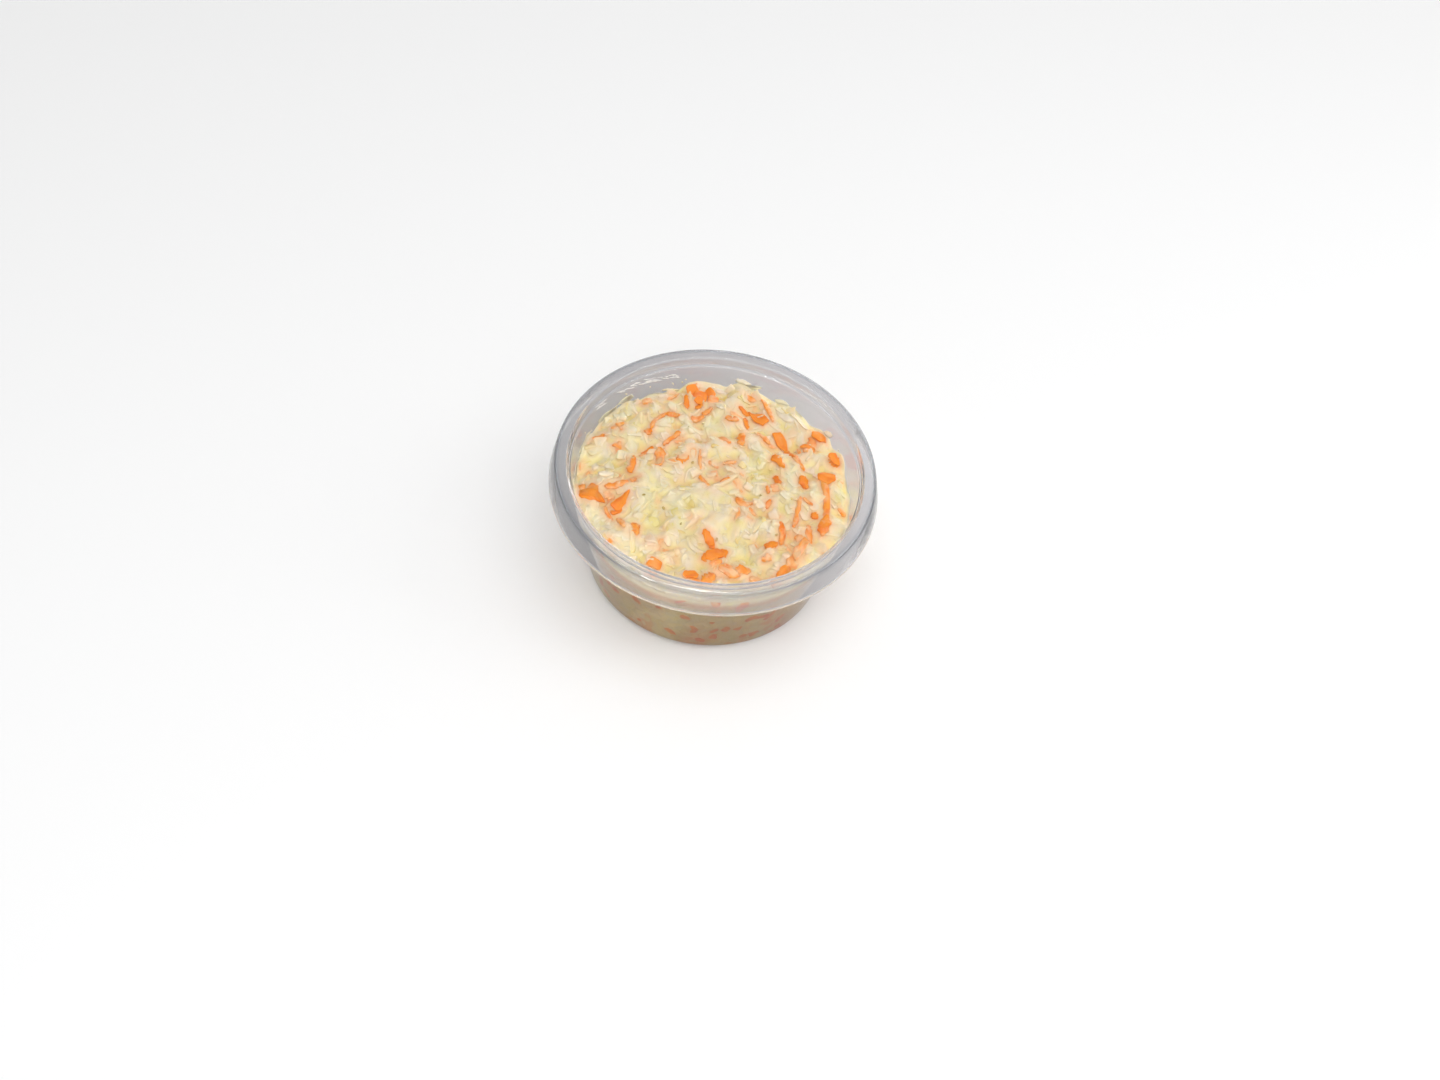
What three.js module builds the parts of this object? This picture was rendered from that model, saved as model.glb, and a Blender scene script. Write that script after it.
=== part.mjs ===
// A cup of coleslaw: a clear, thin-walled round deli cup with an open rim, filled with a
// gently heaped mass of finely chopped cabbage and carrot in a creamy dressing.
//
// Millimetres, +Z up. The origin is the middle of the flat base, on the surface the cup stands on.
// The cup is symmetric about Z; the coleslaw's top is uneven.

import * as THREE from "three";

// ---------- driving dimensions ----------
const CUP_HEIGHT = 50.6; // base to the flat top of the rim
const RIM_RADIUS = 58.5; // lower edge of the rim's skirt, the widest ring of the cup
const FLANGE_RADIUS = 56.4; // outer edge of the rim's flat top
const LIP_RADIUS = 51.6; // inner edge of the rim's flat top, on the inner skin
const SKIRT_DROP = 9.6; // rim top to the lower edge of the skirt
const BEAD_RADIUS = 0.55; // rolled lower edge of the skirt
const NECK_DROP = 3.3; // rim top to the stacking ledge inside the neck
const LEDGE_WIDTH = 0.8; // how far the wall steps in at the ledge
const BASE_RADIUS = 44.0; // where the wall's line meets the base's plane, on the outer skin
const BASE_FILLET = 4.5; // outer corner between wall and base
const WALL = 0.6; // thickness of the moulded sheet
const CLEARANCE = 0.3; // gap between the cup and the coleslaw

const FILL_DROP = 11.8; // rim top to the coleslaw's edge at the wall, on average
const HEAP_RISE = 3.2; // how much higher the middle of the coleslaw stands than its edge
const SLUMP = 0.8; // how much lower the coleslaw lies on the +X side than on the -X side, to each side
const LUMP_COUNT = 170; // clumps of cabbage that make the uneven top
const LUMP_HEIGHT = 1.5; // tallest clump over the smooth heap, and deepest hollow under it
const LUMP_WIDTH = 2.5; // radius of a clump

const SEGMENTS = 64; // facets round the cup
const TOP_FACETS = 80; // facets round the coleslaw, finer than the cup's because its edge is uneven
const TOP_RINGS = 20; // rings across the coleslaw's top

// ---------- the cup's section ----------
const skirtTop = CUP_HEIGHT;
const skirtBottom = CUP_HEIGHT - SKIRT_DROP;
const ledgeZ = CUP_HEIGHT - NECK_DROP;
const wallTopRadius = LIP_RADIUS + WALL - LEDGE_WIDTH; // outer skin just under the ledge
const draft = (wallTopRadius - BASE_RADIUS) / ledgeZ; // outward run of the wall for each mm of height
const draftAngle = Math.atan(draft);

// Outer radius of the tapered wall at a height, and the inner radius of the same wall.
const outerWall = (z) => BASE_RADIUS + draft * z;
const innerWall = (z) => outerWall(z) - WALL / Math.cos(draftAngle);

// Points on an arc in the section plane, angles in degrees from the +radius direction.
function arc(cx, cz, radius, fromDeg, toDeg, steps) {
  const points = [];
  for (let i = 0; i <= steps; i++) {
    const a = THREE.MathUtils.degToRad(fromDeg + ((toDeg - fromDeg) * i) / steps);
    points.push([cx + radius * Math.cos(a), cz + radius * Math.sin(a)]);
  }
  return points;
}

// The fillet between a flat floor at height z0 and the tapered wall line radius(z), bulging outward.
function floorFillet(radiusAt, z0, fillet, steps) {
  // The centre lies one fillet above the floor and one fillet inside the wall, square to the wall.
  const cz = z0 + fillet;
  const cx = radiusAt(cz) - fillet / Math.cos(draftAngle);
  return arc(cx, cz, fillet, -90, -THREE.MathUtils.radToDeg(draftAngle), steps);
}

function cupSection() {
  const draftDeg = THREE.MathUtils.radToDeg(draftAngle);
  const inside = WALL;
  const outer = [
    [0, 0],
    ...floorFillet(outerWall, 0, BASE_FILLET, 5),
    [outerWall(ledgeZ - WALL - 0.5), ledgeZ - WALL - 0.5],
    [outerWall(ledgeZ) + 0.15, ledgeZ - WALL], // under the ledge, the outer skin turns out
    [LIP_RADIUS + WALL, ledgeZ - 0.1],
    [LIP_RADIUS + WALL, skirtTop - WALL - 0.5], // outer skin of the short neck
    [LIP_RADIUS + WALL + 0.5, skirtTop - WALL], // underside of the flange
    [FLANGE_RADIUS - 0.9, skirtTop - WALL],
    [FLANGE_RADIUS - WALL + 0.1, skirtTop - WALL - 0.6],
  ];
  // The skirt hangs from the flange's edge and flares to the rolled bead at its lower edge.
  const beadX = RIM_RADIUS - BEAD_RADIUS;
  const beadZ = skirtBottom + BEAD_RADIUS;
  const bead = [
    [beadX - WALL - 0.1, beadZ + 0.9], // inner skin of the skirt, just above the bead
    ...arc(beadX, beadZ, BEAD_RADIUS, 180, 360, 6),
    [beadX + BEAD_RADIUS - 0.18, beadZ + 0.75], // back on the skirt's outer skin
  ];
  const top = [
    [FLANGE_RADIUS + 0.02, skirtTop - 1.0],
    [FLANGE_RADIUS - 0.28, skirtTop - 0.3],
    [FLANGE_RADIUS - 0.95, skirtTop],
    [LIP_RADIUS + 0.55, skirtTop],
    [LIP_RADIUS + 0.12, skirtTop - 0.16],
    [LIP_RADIUS, skirtTop - 0.6], // rounded inner lip
    [LIP_RADIUS - 0.12, ledgeZ + 0.25],
    [LIP_RADIUS - 0.35, ledgeZ], // the stacking ledge
    [innerWall(ledgeZ) + 0.12, ledgeZ - 0.04],
    [innerWall(ledgeZ - 0.4), ledgeZ - 0.4],
  ];
  const floor = floorFillet(innerWall, inside, BASE_FILLET - WALL, 4).reverse();
  return [...outer, ...bead, ...top, ...floor, [0, inside]];
}

// Turns a section of [radius, height] pairs about Z. The section runs up the outside first, so the faces point out.
function turned(section, facets) {
  const geometry = new THREE.LatheGeometry(
    section.map(([r, z]) => new THREE.Vector2(r, z)),
    facets,
  );
  geometry.rotateX(Math.PI / 2); // the lathe's axis is Y; the part's is Z
  return geometry;
}

// ---------- the coleslaw ----------
// A number from 0 to 1 that is fixed for each index.
function fixed(index, salt) {
  const s = Math.sin(index * 12.9898 + salt * 78.233) * 43758.5453;
  return s - Math.floor(s);
}

const fillZ = CUP_HEIGHT - FILL_DROP;
const fillRadius = innerWall(fillZ) - CLEARANCE;

// Clumps spread evenly over the top on a sunflower spiral, each a soft bump or hollow of its own height.
const lumps = Array.from({ length: LUMP_COUNT }, (_, k) => {
  const r = fillRadius * Math.sqrt((k + 0.5) / LUMP_COUNT);
  const a = k * Math.PI * (3 - Math.sqrt(5));
  return {
    x: r * Math.cos(a),
    y: r * Math.sin(a),
    height: LUMP_HEIGHT * (2 * fixed(k, 1) - 1),
    width: LUMP_WIDTH * (0.8 + 0.5 * fixed(k, 2)),
  };
});

// Height of the coleslaw's top at a point: a heap, lower on one side, with the clumps on it.
function topOf(x, y) {
  const rho = Math.min(1, Math.hypot(x, y) / fillRadius);
  let z = fillZ + HEAP_RISE * (1 - rho * rho) - SLUMP * (x / fillRadius);
  for (const lump of lumps) {
    const d2 = ((x - lump.x) ** 2 + (y - lump.y) ** 2) / lump.width ** 2;
    if (d2 < 9) z += lump.height * Math.exp(-d2);
  }
  return z;
}

// The heap is turned as a smooth body and its top is then set to the uneven height, each column keeping to the cup's wall.
function coleslawGeometry() {
  const floorZ = WALL + CLEARANCE;
  const fillet = BASE_FILLET - WALL - CLEARANCE;
  const sideAt = (z) => innerWall(z) - CLEARANCE;
  const section = [[0, floorZ], ...floorFillet(sideAt, floorZ, fillet, 4)];
  const sideStart = section.length - 1;
  const startZ = section[sideStart][1];
  const SIDE_STEPS = 4;
  for (let i = 1; i <= SIDE_STEPS; i++) {
    const z = startZ + ((fillZ - startZ) * i) / SIDE_STEPS;
    section.push([sideAt(z), z]);
  }
  for (let i = TOP_RINGS - 1; i >= 0; i--)
    section.push([(fillRadius * i) / TOP_RINGS, fillZ]);

  const geometry = turned(section, TOP_FACETS);
  const position = geometry.getAttribute("position");
  for (let i = 0; i < position.count; i++) {
    const x = position.getX(i);
    const y = position.getY(i);
    const z = position.getZ(i);
    const r = Math.hypot(x, y);
    const ux = r > 1e-6 ? x / r : 1;
    const uy = r > 1e-6 ? y / r : 0;
    if (z > fillZ - 1e-3 && r < fillRadius - 1e-3) {
      position.setZ(i, topOf(x, y));
    } else if (z > startZ + 1e-3) {
      // On the wall: slide each point up or down the taper, so that the edge meets the uneven top.
      const edgeZ = topOf(ux * fillRadius, uy * fillRadius);
      const newZ = startZ + ((z - startZ) / (fillZ - startZ)) * (edgeZ - startZ);
      position.setXYZ(i, ux * sideAt(newZ), uy * sideAt(newZ), newZ);
    }
  }
  return geometry;
}

// ---------- the parts ----------
const group = new THREE.Group();

const cup = new THREE.Mesh(
  turned(cupSection(), SEGMENTS),
  new THREE.MeshStandardMaterial({
    color: 0xd9dadd,
    roughness: 0.08,
    metalness: 0,
    transparent: true,
    opacity: 0.35,
  }),
);
cup.name = "cup";
group.add(cup);

const coleslaw = new THREE.Mesh(
  coleslawGeometry(),
  new THREE.MeshStandardMaterial({
    color: 0xe8dcb4,
    roughness: 0.42,
    metalness: 0,
  }),
);
coleslaw.name = "coleslaw";
group.add(coleslaw);

export default group;
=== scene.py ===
# A clear round deli cup filled with finely chopped, creamy coleslaw.
import math

import bpy
import numpy as np
from mathutils import Matrix, Vector, kdtree


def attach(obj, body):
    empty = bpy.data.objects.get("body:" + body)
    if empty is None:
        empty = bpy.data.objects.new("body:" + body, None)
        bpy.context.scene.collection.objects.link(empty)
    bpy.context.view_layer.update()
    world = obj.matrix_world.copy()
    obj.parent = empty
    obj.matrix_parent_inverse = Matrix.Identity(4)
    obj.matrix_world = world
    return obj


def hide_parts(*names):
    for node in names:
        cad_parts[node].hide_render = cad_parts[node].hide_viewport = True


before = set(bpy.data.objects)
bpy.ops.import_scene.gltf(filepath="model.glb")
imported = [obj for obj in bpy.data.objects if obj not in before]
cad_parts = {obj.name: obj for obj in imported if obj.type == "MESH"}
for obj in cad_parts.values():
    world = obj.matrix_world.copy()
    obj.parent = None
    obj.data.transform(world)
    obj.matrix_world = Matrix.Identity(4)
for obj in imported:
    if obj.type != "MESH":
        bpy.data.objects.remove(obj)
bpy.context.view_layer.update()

MM = 0.001

# ----------------------------------------------------------------------------------------------
# Sizes in millimetres, the same as the CAD's.
# ----------------------------------------------------------------------------------------------
CUP_H = 50.6
RIM_R = 58.5
FLANGE_R = 56.4
LIP_R = 51.6
SKIRT_DROP = 9.6
BEAD_R = 0.55
NECK_DROP = 3.3
LEDGE_W = 0.8
BASE_R = 44.0
BASE_FILLET = 4.5
WALL = 0.6

FILL_DROP = 11.8
HEAP_RISE = 3.2
SLUMP = 0.8
LUMP_COUNT = 170
LUMP_H = 1.5
LUMP_W = 2.5
CLEARANCE = 0.3

LEDGE_Z = CUP_H - NECK_DROP
DRAFT = (LIP_R + WALL - LEDGE_W - BASE_R) / LEDGE_Z
DRAFT_A = math.atan(DRAFT)


def outer_wall(z):
    return BASE_R + DRAFT * z


def inner_wall(z):
    return outer_wall(z) - WALL / math.cos(DRAFT_A)


FILL_Z = CUP_H - FILL_DROP
FILL_R = inner_wall(FILL_Z) - CLEARANCE


def level(drop):
    """A height, given as its distance below the rim, on the scale of the materials' height ramps, where 1 is 50 mm."""
    return (CUP_H - drop) / 50.0


def fixed(index, salt):
    s = math.sin(index * 12.9898 + salt * 78.233) * 43758.5453
    return s - math.floor(s)


LUMPS = []
for _k in range(LUMP_COUNT):
    _r = FILL_R * math.sqrt((_k + 0.5) / LUMP_COUNT)
    _a = _k * math.pi * (3 - math.sqrt(5))
    LUMPS.append((_r * math.cos(_a), _r * math.sin(_a), LUMP_H * (2 * fixed(_k, 1) - 1), LUMP_W * (0.8 + 0.5 * fixed(_k, 2))))


def heap(x, y, lumps=1.0):
    """Height of the coleslaw's top, the same function as the CAD solid's."""
    x, y = np.asarray(x, float), np.asarray(y, float)
    rho = np.minimum(1.0, np.hypot(x, y) / FILL_R)
    z = FILL_Z + HEAP_RISE * (1 - rho * rho) - SLUMP * x / FILL_R
    if lumps:
        for lx, ly, lh, lw in LUMPS:
            d2 = ((x - lx) ** 2 + (y - ly) ** 2) / lw**2
            z = z + lumps * lh * np.exp(-np.minimum(d2, 30.0)) * (d2 < 9)
    return z


# ----------------------------------------------------------------------------------------------
# Camera at the photo's angle: 48.8 degrees above the horizon, half a metre away, leaning 8 degrees.
# ----------------------------------------------------------------------------------------------
CAM_DIST = 500.0
CAM_ELEV = math.radians(48.81)
CAM_ROLL = math.radians(8.0)
FOCAL_PX = 2.8611 * CAM_DIST / 1.002
RIM_CENTRE_PX = (716.75, 463.43)

cam_data = bpy.data.cameras.new("camera")
cam = bpy.data.objects.new("camera", cam_data)
bpy.context.scene.collection.objects.link(cam)
bpy.context.scene.camera = cam
cam_data.sensor_fit = "HORIZONTAL"
cam_data.sensor_width = 36.0
cam_data.lens = FOCAL_PX / 1440.0 * 36.0
cam_data.clip_start, cam_data.clip_end = 0.01, 20.0
_e = CAM_ELEV
_back = Vector((0.0, -math.cos(_e), math.sin(_e)))
_right0, _up0 = Vector((1.0, 0.0, 0.0)), Vector((0.0, math.sin(_e), math.cos(_e)))
_xc = _right0 * math.cos(CAM_ROLL) + _up0 * math.sin(CAM_ROLL)
_yc = -_right0 * math.sin(CAM_ROLL) + _up0 * math.cos(CAM_ROLL)
_pitch = math.atan((540.0 - RIM_CENTRE_PX[1]) / FOCAL_PX)  # the rim's centre stands above the middle of the frame
_yaw = math.atan((720.0 - RIM_CENTRE_PX[0]) / FOCAL_PX)
_rot = Matrix((_xc, _yc, _back)).transposed() @ Matrix.Rotation(-_pitch, 3, "X") @ Matrix.Rotation(-_yaw, 3, "Y")
cam.matrix_world = Matrix.Translation((Vector((0, 0, CUP_H)) + _back * CAM_DIST) * MM) @ _rot.to_4x4()


# ----------------------------------------------------------------------------------------------
# Small helpers
# ----------------------------------------------------------------------------------------------
def mesh_object(name, verts_mm, faces, smooth=True, attrs=None):
    me = bpy.data.meshes.new(name)
    verts = np.asarray(verts_mm, np.float32) * MM
    if isinstance(faces, tuple):  # (loop totals, loop vertex indices)
        totals, loops = faces
    else:
        totals = np.array([len(f) for f in faces], np.int32)
        loops = np.array([i for f in faces for i in f], np.int32)
    me.vertices.add(len(verts))
    me.vertices.foreach_set("co", verts.ravel())
    me.loops.add(len(loops))
    me.loops.foreach_set("vertex_index", loops.astype(np.int32))
    me.polygons.add(len(totals))
    starts = np.concatenate([[0], np.cumsum(totals)[:-1]]).astype(np.int32)
    me.polygons.foreach_set("loop_start", starts)
    me.polygons.foreach_set("use_smooth", np.full(len(totals), smooth, bool))
    me.update(calc_edges=True)
    me.validate()
    for key, values in (attrs or {}).items():
        values = np.asarray(values, np.float32)
        if values.ndim == 1:
            a = me.attributes.new(key, "FLOAT", "POINT")
            a.data.foreach_set("value", values)
        else:
            a = me.attributes.new(key, "FLOAT_VECTOR", "POINT")
            a.data.foreach_set("vector", values.ravel())
    ob = bpy.data.objects.new(name, me)
    bpy.context.scene.collection.objects.link(ob)
    return ob


def fillet_path(corners, step_deg=12.0):
    """A polyline through (r, z, fillet radius) corners, each corner rounded with an arc."""
    out = []
    n = len(corners)
    for i, (r, z, f) in enumerate(corners):
        p = np.array([r, z], float)
        if f <= 0 or i == 0 or i == n - 1:
            out.append(p)
            continue
        a = np.array(corners[i - 1][:2], float) - p
        b = np.array(corners[i + 1][:2], float) - p
        la, lb = np.linalg.norm(a), np.linalg.norm(b)
        a, b = a / la, b / lb
        cosang = float(np.clip(a @ b, -1, 1))
        ang = math.acos(cosang)
        if ang > math.pi - 1e-3:
            out.append(p)
            continue
        t = f / math.tan(ang / 2)
        t = min(t, 0.49 * la, 0.49 * lb)
        f = t * math.tan(ang / 2)
        centre = p + (a + b) / np.linalg.norm(a + b) * (f / math.sin(ang / 2))
        s, e = p + a * t, p + b * t
        a0 = math.atan2(*(s - centre)[::-1])
        a1 = math.atan2(*(e - centre)[::-1])
        d = (a1 - a0 + math.pi) % (2 * math.pi) - math.pi
        steps = max(2, int(abs(math.degrees(d)) / step_deg) + 1)
        for k in range(steps + 1):
            w = a0 + d * k / steps
            out.append(centre + f * np.array([math.cos(w), math.sin(w)]))
    return np.array(out)


def lathe(name, path, segments, attrs=None):
    """Turns an open (r, z) path whose ends lie on the axis into one closed mesh."""
    ang = np.arange(segments) * 2 * math.pi / segments
    n = len(path)
    verts = [np.array([[0, 0, path[0][1]]])]
    for r, z in path[1:-1]:
        verts.append(np.stack([r * np.cos(ang), r * np.sin(ang), np.full(segments, z)], 1))
    verts.append(np.array([[0, 0, path[-1][1]]]))
    verts = np.concatenate(verts)
    totals, loops = [], []
    nxt = (np.arange(segments) + 1) % segments
    idx = np.arange(segments)
    # The path runs up the outside first, so quads wind outwards.
    tri0 = np.stack([np.zeros(segments, int), 1 + nxt, 1 + idx], 1)
    totals.append(np.full(segments, 3))
    loops.append(tri0.ravel())
    for k in range(n - 3):
        a = 1 + k * segments
        b = a + segments
        q = np.stack([a + idx, a + nxt, b + nxt, b + idx], 1)
        totals.append(np.full(segments, 4))
        loops.append(q.ravel())
    a = 1 + (n - 3) * segments
    last = len(verts) - 1
    tri1 = np.stack([a + idx, a + nxt, np.full(segments, last)], 1)
    totals.append(np.full(segments, 3))
    loops.append(tri1.ravel())
    return mesh_object(name, verts, (np.concatenate(totals), np.concatenate(loops)))


# ----------------------------------------------------------------------------------------------
# The cup
# ----------------------------------------------------------------------------------------------
def cup_path():
    H = CUP_H
    skirt_z = H - SKIRT_DROP
    bx, bz = RIM_R - BEAD_R, skirt_z + BEAD_R
    outer = [
        (0, 0.30, 0),
        (35.6, 0.30, 0.8),
        (36.5, 0.0, 0.6),
        (BASE_R, 0.0, BASE_FILLET),
        (outer_wall(LEDGE_Z - WALL - 0.4), LEDGE_Z - WALL - 0.4, 0.5),
        (LIP_R + WALL, LEDGE_Z - 0.25, 0.45),
        (LIP_R + WALL + 0.02, H - WALL, 0.55),
        (FLANGE_R - 0.55, H - WALL, 0.55),
        (bx - WALL + 0.05, bz + 0.5, 0.3),
    ]
    outer = fillet_path(outer)
    bead = [(bx + BEAD_R * math.cos(math.radians(d)), bz + BEAD_R * math.sin(math.radians(d))) for d in range(160, 381, 20)]
    top = fillet_path(
        [
            (bx + BEAD_R * 0.72, bz + 0.85, 0.4),
            (bx + BEAD_R * 0.70, bz + 0.95, 0.4),
            (FLANGE_R + 0.02, H, 0.95),
            (LIP_R + 0.02, H, 0.55),
            (LIP_R - 0.12, LEDGE_Z + 0.02, 0.22),
            (inner_wall(LEDGE_Z) + 0.02, LEDGE_Z - 0.05, 0.35),
            (BASE_R + DRAFT * WALL - WALL / math.cos(DRAFT_A), WALL, BASE_FILLET - WALL),
            (36.7, WALL, 0.6),
            (35.4, WALL + 0.30, 0.8),
            (0, WALL + 0.30, 0),
        ]
    )
    return np.concatenate([outer, np.array(bead), top])


cup = lathe("cup_shell", cup_path(), 224)
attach(cup, "root")
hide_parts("cup")


# ----------------------------------------------------------------------------------------------
# The coleslaw's top as a height map: pieces are dropped on it one after the other
# ----------------------------------------------------------------------------------------------
rng = np.random.default_rng(4117)
STEP = 0.35
HALF = 52.5
NG = int(round(2 * HALF / STEP)) + 1
AXIS = np.linspace(-HALF, HALF, NG)
GX, GY = np.meshgrid(AXIS, AXIS)
GR = np.hypot(GX, GY)
PILE = 3.6  # mm of loose pieces over the mass under them


def blur(a, sigma_mm):
    s = sigma_mm / STEP
    m = max(1, int(3 * s))
    k = np.exp(-0.5 * (np.arange(-m, m + 1) / s) ** 2)
    k /= k.sum()
    p = np.pad(a, m, mode="edge")
    q = sum(k[i] * p[i : i + NG, :] for i in range(2 * m + 1))
    return sum(k[i] * q[:, i : i + NG] for i in range(2 * m + 1))


def sample(a, x, y):
    fx = np.clip((np.asarray(x, float) + HALF) / STEP, 0, NG - 1.001)
    fy = np.clip((np.asarray(y, float) + HALF) / STEP, 0, NG - 1.001)
    ix, iy = fx.astype(int), fy.astype(int)
    tx, ty = fx - ix, fy - iy
    return (a[iy, ix] * (1 - tx) + a[iy, ix + 1] * tx) * (1 - ty) + (a[iy + 1, ix] * (1 - tx) + a[iy + 1, ix + 1] * tx) * ty


GOAL = heap(GX, GY, 0.65)
_small, _large = blur(rng.normal(0, 1, (NG, NG)), 2.0), blur(rng.normal(0, 1, (NG, NG)), 4.2)
height = GOAL - PILE + 0.45 * _small / _small.std() + 0.55 * _large / _large.std()
_rim = GR > FILL_R - 0.3
_rim_k = (FILL_R - 0.9) / GR[_rim]


def smooth_pile(sigma_mm):
    """The pile's height without its small bumps, carried on level beyond the wall, so that pieces by the wall don't tip over its edge."""
    full = height.copy()
    full[_rim] = sample(height, GX[_rim] * _rim_k, GY[_rim] * _rim_k)
    return blur(full, sigma_mm)


soft = smooth_pile(1.1)
TONE = {"yellow": np.full((NG, NG), 0.35), "green": np.zeros((NG, NG)), "carrot": np.zeros((NG, NG)), "bare": np.zeros((NG, NG))}  # what lies on top, as a thin coat of dressing lets it show


def mark(kind, tint, coat, where, taken):
    for key, layer in TONE.items():
        value = 0.0
        if key == kind:
            value = 1.0 if kind == "carrot" else 0.45 + 0.55 * tint
        elif key == "yellow" and kind == "white":
            value = 0.28 * tint
        elif key == "bare" and kind == "carrot":
            value = min(1.0, 1.15 - coat)
        layer[where][taken] = value


class Kind:
    """The pieces of one kind, joined into one mesh."""

    def __init__(self, name, slot):
        self.name, self.slot = name, slot
        self.verts, self.totals, self.loops, self.chip, self.local = [], [], [], [], []
        self.count = self.tris = self.pieces = 0

    def add(self, verts, totals, loops, tint, coat, local):
        n = len(verts)
        self.verts.append(verts)
        self.totals.append(totals)
        self.loops.append(loops + self.count)
        self.chip.append(np.tile([tint, coat, rng.random()], (n, 1)))
        self.local.append(local)
        self.count += n
        self.tris += int((totals - 2).sum())
        self.pieces += 1


KINDS = {
    "white": Kind("cabbage_white", "cabbage"),
    "yellow": Kind("cabbage_yellow", "cabbage"),
    "rib": Kind("cabbage_rib", "cabbage"),
    "green": Kind("cabbage_green", "green_cabbage"),
    "carrot": Kind("carrot_shreds", "carrot"),
}

_topology = {}


def ring_faces(rings, nseg):
    """Faces of a closed pad: a middle point on top, rings outwards and round the edge, and a middle point below."""
    key = (rings, nseg)
    if key not in _topology:
        idx = np.arange(nseg)
        nxt = (idx + 1) % nseg
        totals, loops = [np.full(nseg, 3)], [np.stack([np.zeros(nseg, int), 1 + idx, 1 + nxt], 1).ravel()]
        for k in range(rings - 1):
            a, b = 1 + k * nseg, 1 + (k + 1) * nseg
            totals.append(np.full(nseg, 4))
            loops.append(np.stack([a + idx, b + idx, b + nxt, a + nxt], 1).ravel())
        a = 1 + (rings - 1) * nseg
        totals.append(np.full(nseg, 3))
        loops.append(np.stack([np.full(nseg, 1 + rings * nseg), a + nxt, a + idx], 1).ravel())
        _topology[key] = (np.concatenate(totals), np.concatenate(loops))
    return _topology[key]


def tube_faces(stations, around):
    key = ("tube", stations, around)
    if key not in _topology:
        idx = np.arange(around)
        nxt = (idx + 1) % around
        totals, loops = [], []
        for k in range(stations - 1):
            a, b = k * around, (k + 1) * around
            totals.append(np.full(around, 4))
            loops.append(np.stack([a + idx, a + nxt, b + nxt, b + idx], 1).ravel())
        c0, c1 = stations * around, stations * around + 1
        totals.append(np.full(around, 3))
        loops.append(np.stack([np.full(around, c0), nxt, idx], 1).ravel())
        b = (stations - 1) * around
        totals.append(np.full(around, 3))
        loops.append(np.stack([np.full(around, c1), b + idx, b + nxt], 1).ravel())
        _topology[key] = (np.concatenate(totals), np.concatenate(loops))
    return _topology[key]


def outline(a, b, corners, nseg, rough=0.06):
    """A chopped piece's outline: a rough polygon with its corners a little rounded, anticlockwise, round (0, 0)."""
    given = None if isinstance(corners, int) else np.array(corners, float)
    corners = corners if given is None else len(given)
    for attempt in range(6):
        turn = math.pi / 4 + rng.uniform(-0.25, 0.25) if corners == 4 else rng.uniform(0, 6.28)  # four corners make a rough block, not a diamond
        ang = (np.arange(corners) + rng.uniform(-0.25, 0.25, corners)) * 2 * math.pi / corners + turn
        rad = rng.uniform(0.70, 1.18, corners) * (1.22 if corners == 4 else 1.0)
        pts = np.stack([a * rad * np.cos(ang), b * rad * np.sin(ang)], 1) if given is None else given * (a, b)
        nxt = np.roll(pts, -1, 0)
        seg = np.linalg.norm(nxt - pts, axis=1)
        cum = np.concatenate([[0], np.cumsum(seg)])
        s = (np.arange(nseg) + 0.5) / nseg * cum[-1]
        j = np.clip(np.searchsorted(cum, s, "right") - 1, 0, corners - 1)
        f = ((s - cum[j]) / seg[j])[:, None]
        bow = rng.uniform(-0.14, 0.09, corners)[j][:, None] * (4 * f * (1 - f))
        out = pts[j] * (1 - f) + nxt[j] * f
        out = out * (1 + bow)
        out = 0.80 * out + 0.10 * (np.roll(out, 1, 0) + np.roll(out, -1, 0))
        out += rng.normal(0, rough * 0.6**attempt, out.shape)
        out -= out.mean(0)
        turns = np.diff(np.unwrap(np.arctan2(out[:, 1], out[:, 0])))
        if np.all(turns > 0.006):  # star-shaped
            return out
    ang = np.arange(nseg) * 2 * math.pi / nseg + rng.uniform(0, 6.28)
    rad = 1 + 0.12 * np.sin(2 * ang + rng.uniform(0, 6.28)) + 0.08 * np.sin(3 * ang + rng.uniform(0, 6.28))
    return np.stack([a * rad * np.cos(ang), b * rad * np.sin(ang)], 1)


def outline_radius(out, ang):
    oa = np.arctan2(out[:, 1], out[:, 0])
    orr = np.hypot(out[:, 0], out[:, 1])
    k = np.argsort(oa)
    oa, orr = oa[k], orr[k]
    return np.interp(ang, np.concatenate([oa - 2 * math.pi, oa, oa + 2 * math.pi]), np.tile(orr, 3))


FLAKE = (np.array([0.50, 0.86, 0.97, 1.0, 0.92]), np.array([0.50, 0.48, 0.40, 0.06, -0.44]))
CHUNK = (np.array([0.50, 0.82, 0.95, 1.0, 0.84]), np.array([0.50, 0.46, 0.32, -0.10, -0.5]))


def keep_in_wall(p, depth):
    """Pieces that meet the wall are pressed flat against it, reaching just into it."""
    r = np.hypot(p[:, 0], p[:, 1])
    lim = inner_wall(p[:, 2]) + depth
    k = np.where(r > lim, lim / np.maximum(r, 1e-6), 1.0)
    p[:, 0] *= k
    p[:, 1] *= k
    return p


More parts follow.
